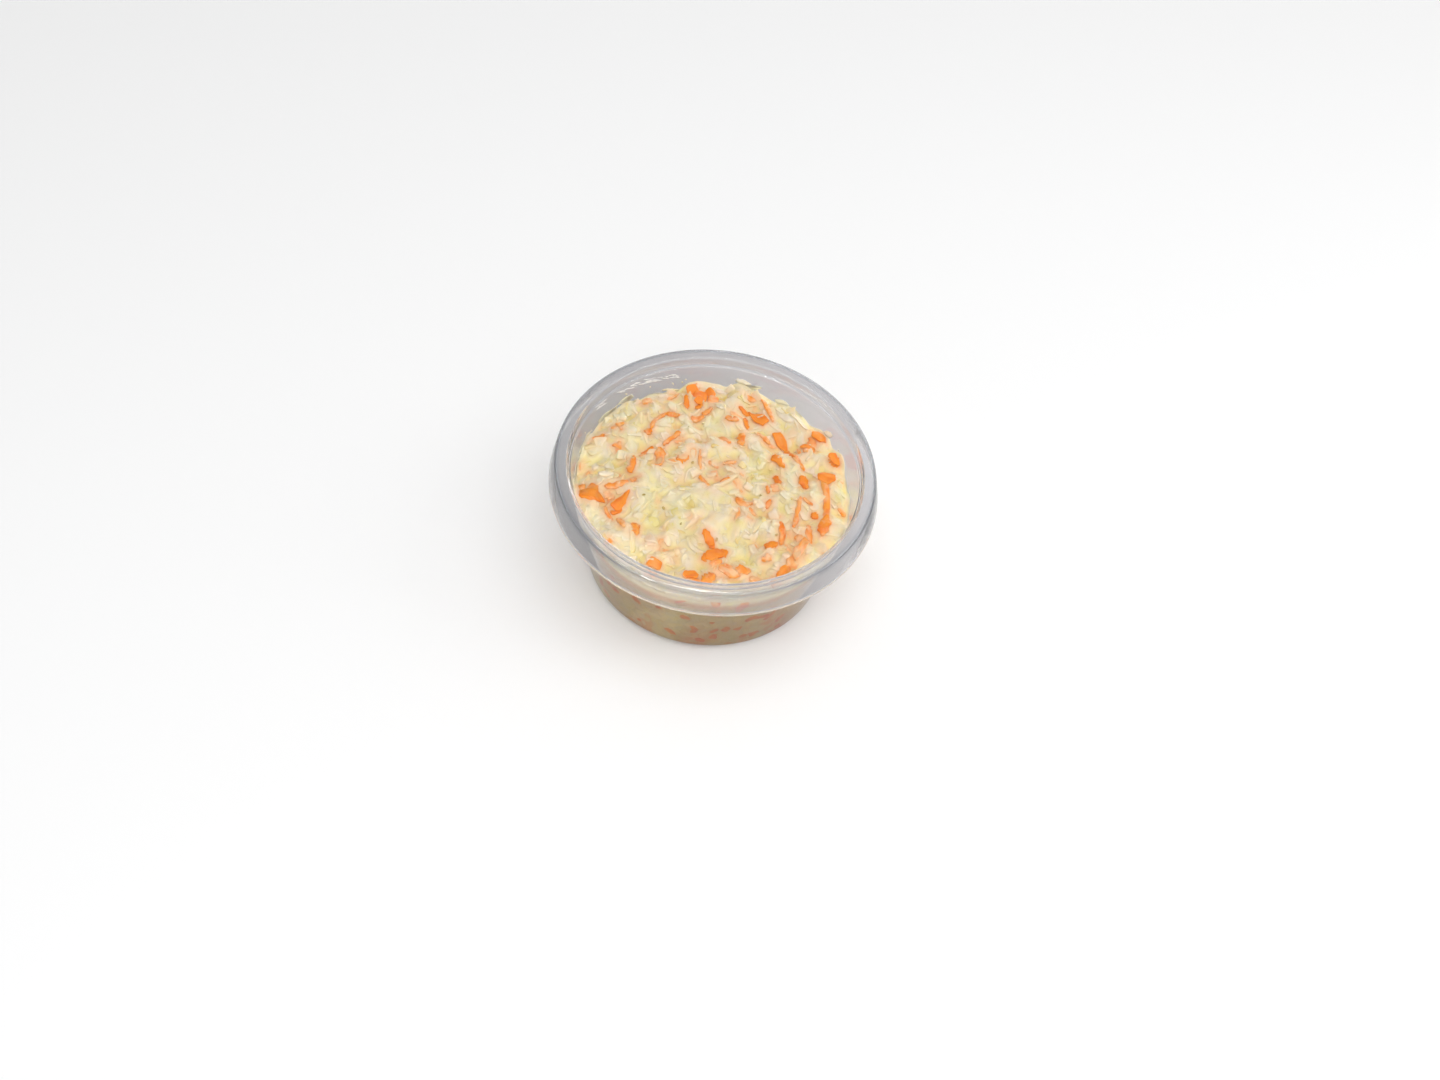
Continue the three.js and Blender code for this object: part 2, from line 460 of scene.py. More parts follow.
def drop_pad(kind, x, y, a, b, t, yaw, corners=5, tilt=0.22, curl=0.0, conform=0.5, sink=0.3, q=0.3, tint=0.5, coat=0.4, chunk=False, nseg=16, lift=0.0):
    """Drops a leaf piece or a chunk on the pile at (x, y)."""
    global height
    out = outline(a, b, corners, nseg)
    scale, off = CHUNK if chunk else FLAKE
    cy, sy = math.cos(yaw), math.sin(yaw)
    u = np.concatenate([[0.0], *(s * out[:, 0] for s in scale), [0.0]])
    v = np.concatenate([[0.0], *(s * out[:, 1] for s in scale), [0.0]])
    o = np.concatenate([[0.5], *(np.full(nseg, k) for k in off), [-0.46]]) * t
    dx, dy = u * cy - v * sy, u * sy + v * cy
    over = float(np.hypot(x + dx, y + dy).max()) - (FILL_R - 0.15 - 0.25 * t)
    if over > 0:  # a piece by the wall lies flush against it
        k = max(0.0, 1 - over / max(math.hypot(x, y), 1e-6))
        x, y = x * k, y * k
    px, py = x + dx, y + dy
    m = np.r_[0 : 1 + 4 * nseg]
    bz = sample(soft, px, py)
    A = np.stack([np.ones(len(m)), dx[m], dy[m]], 1)
    fit = np.linalg.lstsq(A, bz[m], rcond=None)[0]
    g = fit[1:] + rng.normal(0, tilt, 2)
    slope = np.hypot(*g)
    if slope > 0.85:
        g *= 0.85 / slope
    bend = rng.uniform(0, math.pi)
    cb, sb = math.cos(bend), math.sin(bend)
    wave, phase = rng.uniform(0.8, 1.6), rng.uniform(0, 6.28)

    def middle(ddx, ddy, b_here):
        w = ddx * cb + ddy * sb
        w2 = -ddx * sb + ddy * cb
        return g[0] * ddx + g[1] * ddy + curl * w * w + 0.10 * np.sin(wave * w2 + phase) + conform * (b_here - fit[0] - fit[1] * ddx - fit[2] * ddy)

    zm = middle(dx, dy, bz)
    gap = zm[m] - sample(height, px[m], py[m])
    c0 = -np.quantile(gap, q) + t * (0.5 - sink) + lift
    nrm = np.array([-g[0], -g[1], 1.0])
    nrm /= np.linalg.norm(nrm)
    p = np.stack([px + o * nrm[0], py + o * nrm[1], zm + c0 + o * nrm[2]], 1)
    p = keep_in_wall(p, rng.uniform(0.03, 0.13))
    totals, loops = ring_faces(5, nseg)
    local = np.stack([u, v, 2 * o / t], 1)
    KINDS[kind].add(p, totals, loops, tint, coat, local)
    # the pile's new height under the piece
    ext = max(a, b) * 1.35
    i0, i1 = int((y - ext + HALF) / STEP), int((y + ext + HALF) / STEP) + 2
    j0, j1 = int((x - ext + HALF) / STEP), int((x + ext + HALF) / STEP) + 2
    i0, j0 = max(i0, 0), max(j0, 0)
    hx, hy = GX[i0:i1, j0:j1] - x, GY[i0:i1, j0:j1] - y
    lu, lv = hx * cy + hy * sy, -hx * sy + hy * cy
    rel = np.hypot(lu, lv) / outline_radius(out, np.arctan2(lv, lu))
    top = middle(hx, hy, soft[i0:i1, j0:j1]) + c0 + 0.5 * t * np.sqrt(np.clip(1 - rel**4, 0, 1)) - 9 * (rel >= 1)
    mark(kind, tint, coat, np.s_[i0:i1, j0:j1], top > height[i0:i1, j0:j1])
    height[i0:i1, j0:j1] = np.maximum(height[i0:i1, j0:j1], top)


SECTION = np.array([(1.0, 0.45), (0.84, 1.0), (-0.84, 1.0), (-1.0, 0.45), (-1.0, -0.45), (-0.80, -1.0), (0.80, -1.0), (1.0, -0.45)])


def drop_strip(kind, pts, w, t, widths=None, roll=0.0, conform=0.6, sink=0.3, lift=0.0, tint=0.5, coat=0.4, taper=3.0, stations=9, q=0.4):
    """Drops a shred on the pile along a bent line."""
    global height
    pts = np.asarray(pts, float)
    seg = np.linalg.norm(np.diff(pts, axis=0), axis=1)
    cum = np.concatenate([[0], np.cumsum(seg)])
    s = np.linspace(0, 1, stations)
    s = 0.5 - 0.5 * np.cos(s * math.pi) * (0.75 + 0.25 * np.abs(np.cos(s * math.pi)))
    s = (s - s[0]) / (s[-1] - s[0])
    line = np.stack([np.interp(s * cum[-1], cum, pts[:, k]) for k in (0, 1)], 1)
    for _ in range(2):
        line[1:-1] = 0.5 * line[1:-1] + 0.25 * (line[:-2] + line[2:])
    wide = np.interp(s, (0, 0.5, 1), widths) if widths else np.full(stations, w)
    reach = np.hypot(line[:, 0], line[:, 1])
    line *= np.minimum(1.0, (FILL_R - 0.2 - 0.5 * wide) / np.maximum(reach, 1e-6))[:, None]  # a shred by the wall bends along it
    tan = np.gradient(line, axis=0)
    tan /= np.linalg.norm(tan, axis=1)[:, None]
    side = np.stack([-tan[:, 1], tan[:, 0]], 1)
    half = 0.5 * wide * np.maximum(np.clip(1 - np.abs(2 * s - 1) ** taper, 0.0, 1) ** 0.5, 0.5) * (1 + rng.normal(0, 0.06, stations))
    bz = sample(soft, line[:, 0], line[:, 1])
    slope_side = (sample(soft, *(line + side * w * 0.6).T) - sample(soft, *(line - side * w * 0.6).T)) / (1.2 * w)
    coef = np.polyfit(s, bz, 1)
    zm = conform * bz + (1 - conform) * np.polyval(coef, s)
    for _ in range(2):
        zm[1:-1] = 0.5 * zm[1:-1] + 0.25 * (zm[:-2] + zm[2:])
    gap = np.concatenate([zm - sample(height, *line.T), zm - sample(height, *(line + side * half[:, None] * 0.7).T), zm - sample(height, *(line - side * half[:, None] * 0.7).T)])
    zm = zm - np.quantile(gap, q) + t * (0.5 - sink) + lift
    twist = roll + rng.normal(0, 0.10) + np.linspace(-1, 1, stations) * rng.normal(0, 0.18)
    lean = np.arctan(np.clip(slope_side * 0.8, -0.9, 0.9)) + twist
    t3 = np.stack([tan[:, 0], tan[:, 1], np.gradient(zm) / np.maximum(np.linalg.norm(np.gradient(line, axis=0), axis=1), 1e-6)], 1)
    t3 /= np.linalg.norm(t3, axis=1)[:, None]
    s3 = np.stack([side[:, 0] * np.cos(lean), side[:, 1] * np.cos(lean), np.sin(lean)], 1)
    s3 -= t3 * (s3 * t3).sum(1)[:, None]
    s3 /= np.linalg.norm(s3, axis=1)[:, None]
    n3 = np.cross(t3, s3)
    centre = np.stack([line[:, 0], line[:, 1], zm], 1)
    thick = 0.5 * t * (1 + rng.normal(0, 0.05, stations))
    ragged = 1 + (rng.normal(0, 0.19, (stations, 2)) if widths else rng.normal(0, 0.05, (stations, 2)))
    sides = np.where(SECTION[None, :, 0] > 0, ragged[:, 0:1], ragged[:, 1:2])
    p = centre[:, None, :] + s3[:, None, :] * (SECTION[None, :, 0] * sides * half[:, None])[..., None] + n3[:, None, :] * (SECTION[None, :, 1:2] * thick[:, None, None])
    ends = np.stack([centre[0] - t3[0] * 0.18 * w, centre[-1] + t3[-1] * 0.18 * w])
    p = np.concatenate([p.reshape(-1, 3), ends])
    p = keep_in_wall(p, rng.uniform(0.03, 0.13))
    totals, loops = tube_faces(stations, 8)
    lu = np.repeat(s * cum[-1], 8)
    lv = (SECTION[None, :, 0] * half[:, None]).ravel()
    local = np.stack([np.concatenate([lu, [0, cum[-1]]]), np.concatenate([lv, [0, 0]]), np.concatenate([np.tile(SECTION[:, 1], stations), [0, 0]])], 1)
    KINDS[kind].add(p, totals, loops, tint, coat, local)
    lo, hi = line.min(0) - w, line.max(0) + w
    i0, i1 = max(int((lo[1] + HALF) / STEP), 0), int((hi[1] + HALF) / STEP) + 2
    j0, j1 = max(int((lo[0] + HALF) / STEP), 0), int((hi[0] + HALF) / STEP) + 2
    cx, cy = GX[i0:i1, j0:j1], GY[i0:i1, j0:j1]
    dense = np.linspace(0, stations - 1, stations * 3)
    k0 = np.clip(dense.astype(int), 0, stations - 2)
    f = dense - k0
    lx = line[k0, 0] * (1 - f) + line[k0 + 1, 0] * f
    ly = line[k0, 1] * (1 - f) + line[k0 + 1, 1] * f
    lz = zm[k0] * (1 - f) + zm[k0 + 1] * f
    lh = half[k0] * (1 - f) + half[k0 + 1] * f
    d = np.hypot(cx[..., None] - lx, cy[..., None] - ly)
    k = np.argmin(d / lh, axis=-1)
    dd = np.take_along_axis(d, k[..., None], -1)[..., 0]
    rel = dd / lh[k]
    top = lz[k] + 0.5 * t * np.sqrt(np.clip(1 - rel**4, 0, 1)) - 9 * (rel >= 1)
    mark(kind, tint, coat, np.s_[i0:i1, j0:j1], top > height[i0:i1, j0:j1])
    height[i0:i1, j0:j1] = np.maximum(height[i0:i1, j0:j1], top)


def bent_line(x, y, yaw, length, bend, n=5):
    s = np.linspace(-0.5, 0.5, n)
    u = s * length
    v = bend * length * (s * s * 4 - 0.33) + rng.normal(0, 0.02 * length, n)
    return np.stack([x + u * math.cos(yaw) - v * math.sin(yaw), y + u * math.sin(yaw) + v * math.cos(yaw)], 1)


# Carrot shreds: width at the start, the middle and the end, how far the dressing covers them, how proud they lie,
# and the bent line they follow (x, y).
CARROTS = [
    (1.4, 1.4, 1.7, 0.15, 0.5, [(-9.0, 37.4), (-10.1, 34.3)]),
    (1.0, 1.0, 0.8, 0.60, 0.3, [(-17.0, 42.7), (-21.4, 37.8)]),
    (1.0, 1.4, 1.4, 0.50, 0.5, [(-20.4, 30.2), (-22.8, 28.1), (-24.2, 24.7), (-25.4, 20.3)]),
    (1.4, 1.7, 1.0, 0.35, 0.5, [(-20.8, 30.1), (-18.2, 30.0), (-15.8, 28.8)]),
    (1.7, 1.7, 1.0, 0.25, 0.3, [(-26.6, 18.0), (-25.4, 20.3)]),
    (1.7, 2.1, 1.4, 0.45, 0.3, [(-37.7, 19.1), (-35.8, 21.4)]),
    (1.4, 1.7, 1.4, 0.35, 0.3, [(-45.4, 12.6), (-43.1, 13.9), (-42.0, 16.0)]),
    (2.1, 1.7, 1.0, 0.05, 0.5, [(-26.9, 9.4), (-25.3, 11.1), (-23.7, 12.8)]),
    (1.7, 1.2, 1.4, 0.50, 0.4, [(-14.9, 20.4), (-17.4, 17.4), (-19.9, 13.9)]),
    (2.1, 2.8, 2.1, 0.45, 0.4, [(-21.1, 11.7), (-20.2, 7.9), (-20.0, 3.6)]),
    (1.0, 1.7, 2.1, 0.35, 0.3, [(-29.7, 6.0), (-29.5, 2.2), (-30.1, -1.2)]),
    (2.8, 2.4, 1.7, 0.05, 0.5, [(-14.2, 6.0), (-12.2, 7.3), (-10.3, 9.1)]),
    (0.9, 0.9, 0.7, 0.30, 0.3, [(-17.1, 6.0), (-14.4, 4.5)]),
    (2.1, 2.4, 1.7, 0.70, 0.3, [(-30.2, 34.2), (-27.4, 35.7)]),
    (1.0, 1.4, 1.4, 0.35, 0.3, [(-14.8, 39.6), (-13.8, 34.1)]),
    (1.4, 1.4, 1.0, 0.35, 0.4, [(-7.7, 32.0), (-4.7, 36.0)]),
    (2.1, 2.1, 1.4, 0.35, 0.3, [(-11.4, 28.5), (-7.2, 31.0)]),
    (1.7, 1.7, 1.4, 0.35, 0.3, [(1.0, 30.6), (5.6, 29.5)]),
    (2.1, 2.4, 2.1, 0.20, 0.4, [(0.1, 21.3), (3.4, 17.4)]),
    (1.7, 2.1, 1.7, 0.35, 0.3, [(7.5, 24.6), (7.7, 18.4)]),
    (1.0, 1.2, 1.4, 0.05, 0.5, [(5.4, 38.0), (7.6, 36.3), (9.8, 34.9)]),
    (1.4, 1.4, 1.0, 0.25, 0.5, [(7.9, 32.8), (9.5, 27.7)]),
    (1.6, 1.4, 0.9, 0.15, 0.4, [(24.4, 21.6), (26.2, 18.9), (27.6, 16.2)]),
    (2.1, 2.4, 1.4, 0.15, 0.8, [(34.4, 32.5), (36.4, 30.4), (38.7, 28.4)]),
    (2.1, 2.8, 2.1, 0.30, 0.5, [(33.7, 29.6), (33.7, 23.7)]),
    (1.4, 1.7, 2.1, 0.35, 0.4, [(29.6, 23.0), (34.8, 23.5)]),
    (2.4, 3.1, 2.4, 0.05, 0.6, [(41.0, 20.2), (43.4, 17.4)]),
    (2.1, 1.7, 1.0, 0.15, 0.5, [(19.8, 15.2), (22.1, 12.8), (24.2, 9.9)]),
    (1.0, 1.4, 1.0, 0.50, 0.4, [(13.1, 44.4), (16.1, 39.4), (18.4, 33.3)]),
    (1.4, 1.7, 1.0, 0.50, 0.3, [(27.7, 17.3), (29.1, 13.7), (31.5, 11.3)]),
    (1.0, 1.4, 1.0, 0.50, 0.3, [(30.5, 20.2), (32.1, 19.6)]),
    (1.4, 1.4, 1.0, 0.60, 0.3, [(13.0, 25.9), (18.1, 22.5)]),
    (2.1, 2.4, 1.7, 0.70, 0.3, [(2.5, 8.2), (6.6, 10.6)]),
    (2.8, 2.4, 1.4, 0.40, 0.4, [(-47.5, -9.6), (-44.5, -11.2)]),
    (2.1, 3.5, 1.0, 0.05, 0.8, [(-46.6, -13.2), (-42.9, -14.1), (-40.0, -14.7), (-37.1, -15.7)]),
    (2.1, 2.4, 1.7, 0.20, 0.6, [(-42.6, -9.6), (-40.2, -13.4)]),
    (1.7, 2.1, 1.4, 0.45, 0.5, [(-37.7, -9.5), (-33.9, -9.1), (-30.0, -6.8)]),
    (2.1, 1.7, 1.4, 0.40, 0.4, [(-29.1, -5.7), (-27.4, -4.6)]),
    (2.1, 2.4, 1.7, 0.80, 0.3, [(-37.6, -12.2), (-34.2, -13.6)]),
    (3.1, 2.8, 0.9, 0.05, 0.8, [(-33.3, -20.1), (-32.0, -16.9), (-29.0, -11.2)]),
    (1.0, 1.0, 1.0, 0.70, 0.3, [(-36.4, -17.9), (-35.2, -20.8), (-33.1, -23.1)]),
    (1.4, 1.4, 1.0, 0.65, 0.3, [(-31.2, -22.4), (-28.1, -26.7)]),
    (3.1, 2.4, 1.4, 0.40, 0.4, [(-25.3, -24.2), (-23.7, -28.6)]),
    (1.7, 2.4, 2.1, 0.40, 0.4, [(-18.4, -40.1), (-15.1, -42.0)]),
    (1.7, 1.7, 1.4, 0.70, 0.3, [(-16.2, -30.1), (-14.4, -28.1)]),
    (1.4, 2.1, 1.7, 0.02, 0.7, [(-1.2, -23.4), (0.9, -26.4), (3.0, -29.3)]),
    (2.4, 3.5, 2.1, 0.05, 0.8, [(-0.2, -34.8), (3.1, -33.4), (7.6, -30.1)]),
    (2.8, 3.1, 2.1, 0.55, 0.4, [(3.6, -34.9), (4.7, -38.3)]),
    (1.7, 2.1, 2.1, 0.30, 0.5, [(-4.3, -43.0), (0.6, -43.8)]),
    (2.1, 3.5, 2.4, 0.35, 0.5, [(0.6, -43.8), (4.4, -41.2)]),
    (3.5, 4.2, 2.8, 0.80, 0.3, [(4.1, -38.8), (9.0, -39.5)]),
    (1.4, 1.4, 1.4, 0.40, 0.4, [(-5.4, 0.9), (-2.0, -3.7)]),
    (1.4, 2.1, 1.7, 0.25, 0.6, [(2.4, -0.9), (4.6, 1.9), (7.9, 1.2), (10.0, -2.6)]),
    (1.7, 2.4, 1.7, 0.50, 0.4, [(8.6, -6.6), (11.0, -9.2), (14.2, -8.5)]),
    (1.4, 1.4, 1.4, 0.25, 0.4, [(19.1, -7.9), (20.6, -4.3)]),
    (1.7, 1.7, 1.7, 0.20, 0.5, [(21.5, 7.2), (22.9, 2.8)]),
    (2.1, 2.8, 2.1, 0.10, 0.5, [(30.6, 7.7), (33.1, 3.6)]),
    (2.8, 1.7, 1.7, 0.35, 0.7, [(38.8, 6.6), (40.2, 0.4), (41.0, -5.9), (40.5, -9.6)]),
    (1.7, 3.1, 2.4, 0.35, 0.6, [(41.1, -7.7), (40.6, -12.3), (39.8, -16.4)]),
    (1.0, 1.4, 1.4, 0.50, 0.4, [(30.9, -2.6), (30.6, -8.2), (29.7, -15.1)]),
    (1.7, 2.1, 1.4, 0.15, 0.4, [(36.0, -7.7), (37.6, -9.5)]),
    (0.9, 0.9, 0.7, 0.60, 0.3, [(32.0, -2.4), (35.5, -5.1)]),
    (1.4, 2.1, 1.4, 0.30, 0.5, [(24.7, -15.0), (26.4, -18.5), (25.7, -22.5)]),
    (2.4, 2.1, 1.4, 0.20, 0.5, [(21.2, -26.9), (22.3, -24.1), (24.7, -22.7)]),
    (1.4, 1.7, 1.7, 0.35, 0.4, [(34.6, -13.0), (36.1, -20.0)]),
    (1.7, 2.8, 2.4, 0.55, 0.4, [(30.7, -18.7), (34.3, -19.6)]),
    (2.8, 3.5, 2.4, 0.60, 0.4, [(34.4, -20.4), (32.7, -25.5), (30.5, -29.3), (28.7, -32.6)]),
    (1.7, 2.4, 2.1, 0.20, 0.5, [(29.7, -32.4), (25.9, -36.8)]),
    (2.4, 2.4, 1.4, 0.40, 0.4, [(11.5, -37.5), (16.3, -37.7)]),
    (1.7, 2.8, 2.1, 0.50, 0.4, [(16.7, -40.8), (19.6, -39.0)]),
    (1.4, 1.7, 1.4, 0.70, 0.2, [(19.9, -32.1), (22.6, -30.3)]),
]
# Deeper yellow and greener leaf pieces: x, y, half size, kind.
LEAVES = [
    (-20.0, -17.9, 3.1, "yellow"), (-18.6, -15.1, 1.7, "yellow"), (-5.0, -25.8, 4.2, "yellow"), (-4.5, -21.5, 1.4, "yellow"), (-12.9, -24.1, 2.1, "green"),
    (-11.6, -17.5, 2.8, "green"), (-10.0, -32.8, 1.7, "yellow"), (-9.1, -42.6, 1.4, "yellow"), (-2.0, -33.5, 1.7, "yellow"), (2.4, 44.5, 2.4, "yellow"),
    (-13.8, 37.0, 2.1, "yellow"), (44.6, 0.2, 2.1, "yellow"), (18.7, -15.1, 1.7, "yellow"), (10.9, -18.5, 2.1, "green"), (-2.2, -8.3, 1.7, "green"),
    (-10.4, -5.2, 1.4, "green"), (15.3, 11.1, 1.7, "green"), (18.5, 7.5, 2.1, "green"), (24.3, 42.3, 3.1, "yellow"), (-46.7, 0.2, 2.4, "yellow"),
    (3.6, -9.4, 2.8, "green"), (13.3, -24.8, 3.1, "yellow"), (-29.9, 23.8, 3.5, "green"), (-9.3, -38.3, 2.1, "green"), (22.7, -32.3, 2.1, "green"),
]


def random_piece(progress):
    """One piece somewhere on the top; the pieces get finer towards the top of the pile."""
    r = FILL_R * math.sqrt(rng.random()) * 1.0
    a0 = rng.uniform(0, 2 * math.pi)
    x, y = r * math.cos(a0), r * math.sin(a0)
    near = r > FILL_R - 3
    size = 1.0 - 0.08 * progress
    pick = rng.random()
    coat = float(np.clip(rng.normal(0.45, 0.2), 0, 1))
    if pick < 0.40:
        drop_pad("white", x, y, rng.uniform(2.6, 5.4) * size, rng.uniform(1.9, 3.6) * size, rng.uniform(0.55, 1.0), rng.uniform(0, 6.28), corners=int(rng.integers(3, 6)), tilt=0.08 if near else 0.20, curl=rng.normal(0, 0.03), conform=rng.uniform(0.4, 0.8), tint=rng.random(), coat=coat)
    elif pick < 0.62:
        drop_pad("yellow", x, y, rng.uniform(2.3, 5.0) * size, rng.uniform(1.6, 3.2) * size, rng.uniform(0.5, 0.9), rng.uniform(0, 6.28), corners=int(rng.integers(3, 6)), tilt=0.08 if near else 0.22, curl=rng.normal(0, 0.035), conform=rng.uniform(0.4, 0.8), tint=rng.random() ** 1.6 * 0.8, coat=coat)
    elif pick < 0.76:
        drop_pad("rib", x, y, rng.uniform(2.0, 3.6) * size, rng.uniform(1.3, 2.3) * size, rng.uniform(1.4, 2.4), rng.uniform(0, 6.28), corners=int(rng.integers(4, 6)), tilt=0.08 if near else 0.28, conform=0.3, sink=0.5, tint=rng.random(), coat=coat, chunk=True)
    elif pick < 0.81:
        drop_pad("green", x, y, rng.uniform(1.8, 3.6) * size, rng.uniform(1.2, 2.4) * size, rng.uniform(0.5, 0.9), rng.uniform(0, 6.28), corners=int(rng.integers(3, 6)), tilt=0.10 if near else 0.22, curl=rng.normal(0, 0.04), conform=rng.uniform(0.45, 0.85), tint=rng.random() ** 2 * 0.8, coat=coat)
    elif pick < 0.93:
        kind = "white" if rng.random() < 0.6 else "yellow"
        length = rng.uniform(6, 12) * size
        drop_strip(kind, bent_line(x, y, rng.uniform(0, 6.28), length, rng.normal(0, 0.14)), rng.uniform(1.8, 3.2), rng.uniform(0.9, 1.6), roll=rng.normal(0, 0.3), tint=rng.random() ** 1.4, coat=coat, stations=9)
    elif pick < 0.96:
        drop_pad("carrot", x, y, rng.uniform(1.6, 3.4), rng.uniform(1.0, 1.9), 0.8, rng.uniform(0, 6.28), corners=int(rng.integers(3, 6)), tilt=0.12, conform=0.7, sink=0.4, tint=rng.random(), coat=float(np.clip(rng.normal(0.72, 0.15), 0.3, 1)))
    else:
        length = rng.uniform(2.5, 8)
        drop_strip("carrot", bent_line(x, y, rng.uniform(0, 6.28), length, rng.normal(0, 0.10)), rng.uniform(1.3, 2.4), rng.uniform(0.9, 1.4), roll=rng.normal(0, 0.35), sink=0.6, tint=rng.random(), coat=float(np.clip(rng.normal(0.7, 0.15), 0.3, 1)), stations=7)


TOP_PIECES = 1700
for i in range(TOP_PIECES):
    if i % 10 == 0:
        soft = smooth_pile(1.1)
    random_piece(i / TOP_PIECES)
soft = smooth_pile(1.1)
for x, y, half, kind in LEAVES:
    drop_pad(kind, x, y, half * 1.15, half * 0.7, 0.8, rng.uniform(0, 6.28), corners=4, tilt=0.12, curl=0.06, conform=0.8, sink=0.8, q=0.5, tint=0.75, coat=0.30)
soft = smooth_pile(0.9)
for w0, w1, w2, coat, lift, pts in CARROTS:
    width = max(w0, w1, w2)
    if len(pts) == 2:
        pts = [pts[0], tuple(np.mean(pts, axis=0)), pts[1]]
    grow = 1.35
    drop_strip("carrot", pts, width, min(1.35, 0.55 + 0.24 * width), widths=(w0 * grow, w1 * grow, w2 * grow), roll=rng.normal(0, 0.08), conform=0.85, sink=0.3, lift=0.10 + 0.32 * lift, tint=float(np.clip(0.95 - coat + rng.normal(0, 0.1), 0, 1)), coat=coat, taper=9.0, stations=12, q=0.36)

# Outlines of the broad slices of carrot, anticlockwise, over their half length and half width.
TAIL = ((-1.0, 0.15), (-0.1, -0.75), (0.9, -0.85), (1.0, 0.5), (0.3, 0.9))
HEAD = ((1.0, 0.1), (0.1, 0.75), (-0.9, 0.85), (-1.0, -0.7), (0.0, -0.75))
BLOCK = ((-1.0, -0.3), (-0.5, -0.95), (0.7, -0.85), (1.0, 0.15), (0.5, 0.95), (-0.65, 0.8))
WING = ((-0.75, 1.0), (-1.0, 0.2), (-0.45, -0.75), (0.35, -1.0), (0.95, -0.1), (0.8, 0.85))
# Broad slices of carrot: x, y, half length, half width, turn in degrees, cover of dressing, how proud they lie, outline or corners.
BROAD = [
    (-9.8, 37.6, 2.4, 1.8, 84, 0.05, 0.5, 4),
    (-16.2, -38.0, 3.6, 2.2, -20, 0.22, 0.4, 4),
    (22.4, 25.0, 5.4, 2.6, -60, 0.12, 0.6, HEAD), (12.9, 33.8, 5.0, 2.9, -34, 0.05, 0.7, TAIL), (39.6, 8.0, 3.8, 3.2, -30, 0.03, 0.8, BLOCK), (42.0, 18.6, 2.8, 2.1, -50, 0.05, 0.5, BLOCK),
    (-42.2, -13.9, 4.8, 2.6, -18, 0.05, 0.6, TAIL), (-31.4, -16.4, 4.2, 2.8, 62, 0.05, 0.7, HEAD), (3.6, -33.4, 4.0, 2.8, 24, 0.05, 0.7, BLOCK), (0.9, -26.4, 3.6, 1.7, -55, 0.02, 0.6, TAIL),
    (36.6, 30.2, 3.4, 2.3, -42, 0.15, 0.6, BLOCK), (-20.4, 4.6, 3.4, 1.7, 86, 0.45, 0.3, 5), (9.0, -39.3, 4.6, 2.4, -10, 0.72, 0.3, 5), (33.0, -24.0, 4.8, 2.0, 66, 0.60, 0.3, 4),
    (-3.6, -42.2, 3.0, 2.0, 10, 0.10, 0.6, BLOCK),
]
for x, y, a, b, turn, coat, lift, corners in BROAD:
    drop_pad("carrot", x, y, a, b, 0.8, math.radians(turn), corners=corners, tilt=0.04, curl=0.0, conform=0.85, sink=0.2, q=0.22, tint=float(np.clip(0.9 - coat + rng.normal(0, 0.1), 0, 1)), coat=coat, lift=0.10 + 0.40 * lift, nseg=20)

# Tiny dark olive flecks, small pads of the green kind.
FLECKS = [(3.6, -26.0), (-9.4, -21.0), (-23.7, -12.3), (-16.2, -15.0), (-8.6, 6.3), (17.0, -3.0), (-30.0, 4.0), (9.0, 19.0), (24.0, -20.0), (-14.0, -31.0)]
for x, y in FLECKS:
    drop_pad("green", x, y, rng.uniform(0.5, 0.8), rng.uniform(0.35, 0.55), 0.5, rng.uniform(0, 6.28), corners=4, tilt=0.1, conform=1.0, sink=-0.4, tint=1.0, coat=0.0, nseg=10)

# Bring the finished pile to the heap's height.
inside = GR < FILL_R
SHIFT = float((GOAL - 0.35 - height)[inside].mean())
CEILING = CUP_H - 7.35
height = np.minimum(height + SHIFT, CEILING)
height[_rim] = sample(height, GX[_rim] * _rim_k, GY[_rim] * _rim_k)


def settle(p):
    """Moves a piece of the top with the pile, and keeps it under the highest point of the heap."""
    p[:, 2] += SHIFT
    p[:, 2] -= max(0.0, float(p[:, 2].max()) - CEILING)
    return p


for kind in KINDS.values():
    kind.verts = [settle(v) for v in kind.verts]

# Pointed leaf pieces that stand up out of the heap, most of them along its far edge: x, y, half width, half length, lean
# away from the viewer in degrees, turn in degrees, how far they stand out, kind.
STANDING = [
    (-20.2, 41.8, 3.4, 3.6, 52, 25, 1.8, "white"), (-31.9, 33.6, 3.4, 3.4, 48, 38, 1.2, "white"), (-14.6, 44.2, 2.4, 2.8, 50, 8, 1.0, "yellow"),
    (1.4, 45.4, 3.4, 4.0, 56, -4, 2.4, "white"), (10.6, 44.0, 3.6, 4.4, 56, -14, 2.8, "white"), (24.2, 38.6, 3.0, 3.8, 52, -32, 2.0, "yellow"),
    (-40.6, 22.6, 3.0, 3.2, 46, 58, 1.0, "white"), (33.4, 30.8, 3.0, 3.2, 50, -48, 1.0, "white"), (17.4, 41.8, 2.6, 3.0, 52, -22, 1.2, "white"),
    (-8.0, 20.0, 2.6, 3.2, 30, 20, 0.6, "white"), (14.0, 5.0, 2.8, 3.4, 32, -30, 0.7, "white"),
    (-9.6, 39.8, 2.8, 3.6, 40, 0, 2.0, "carrot"), (-12.0, 41.6, 2.6, 4.4, 42, 40, 3.0, "carrot"), (-6.9, 41.8, 2.6, 4.2, 42, -42, 2.9, "carrot"), (-4.6, 39.6, 2.3, 2.8, 38, -10, 2.1, "lobe"), (-24.0, -8.0, 2.6, 3.2, 30, 60, 0.5, "white"), (6.0, -14.0, 2.8, 3.6, 30, -10, 0.7, "white"),
]


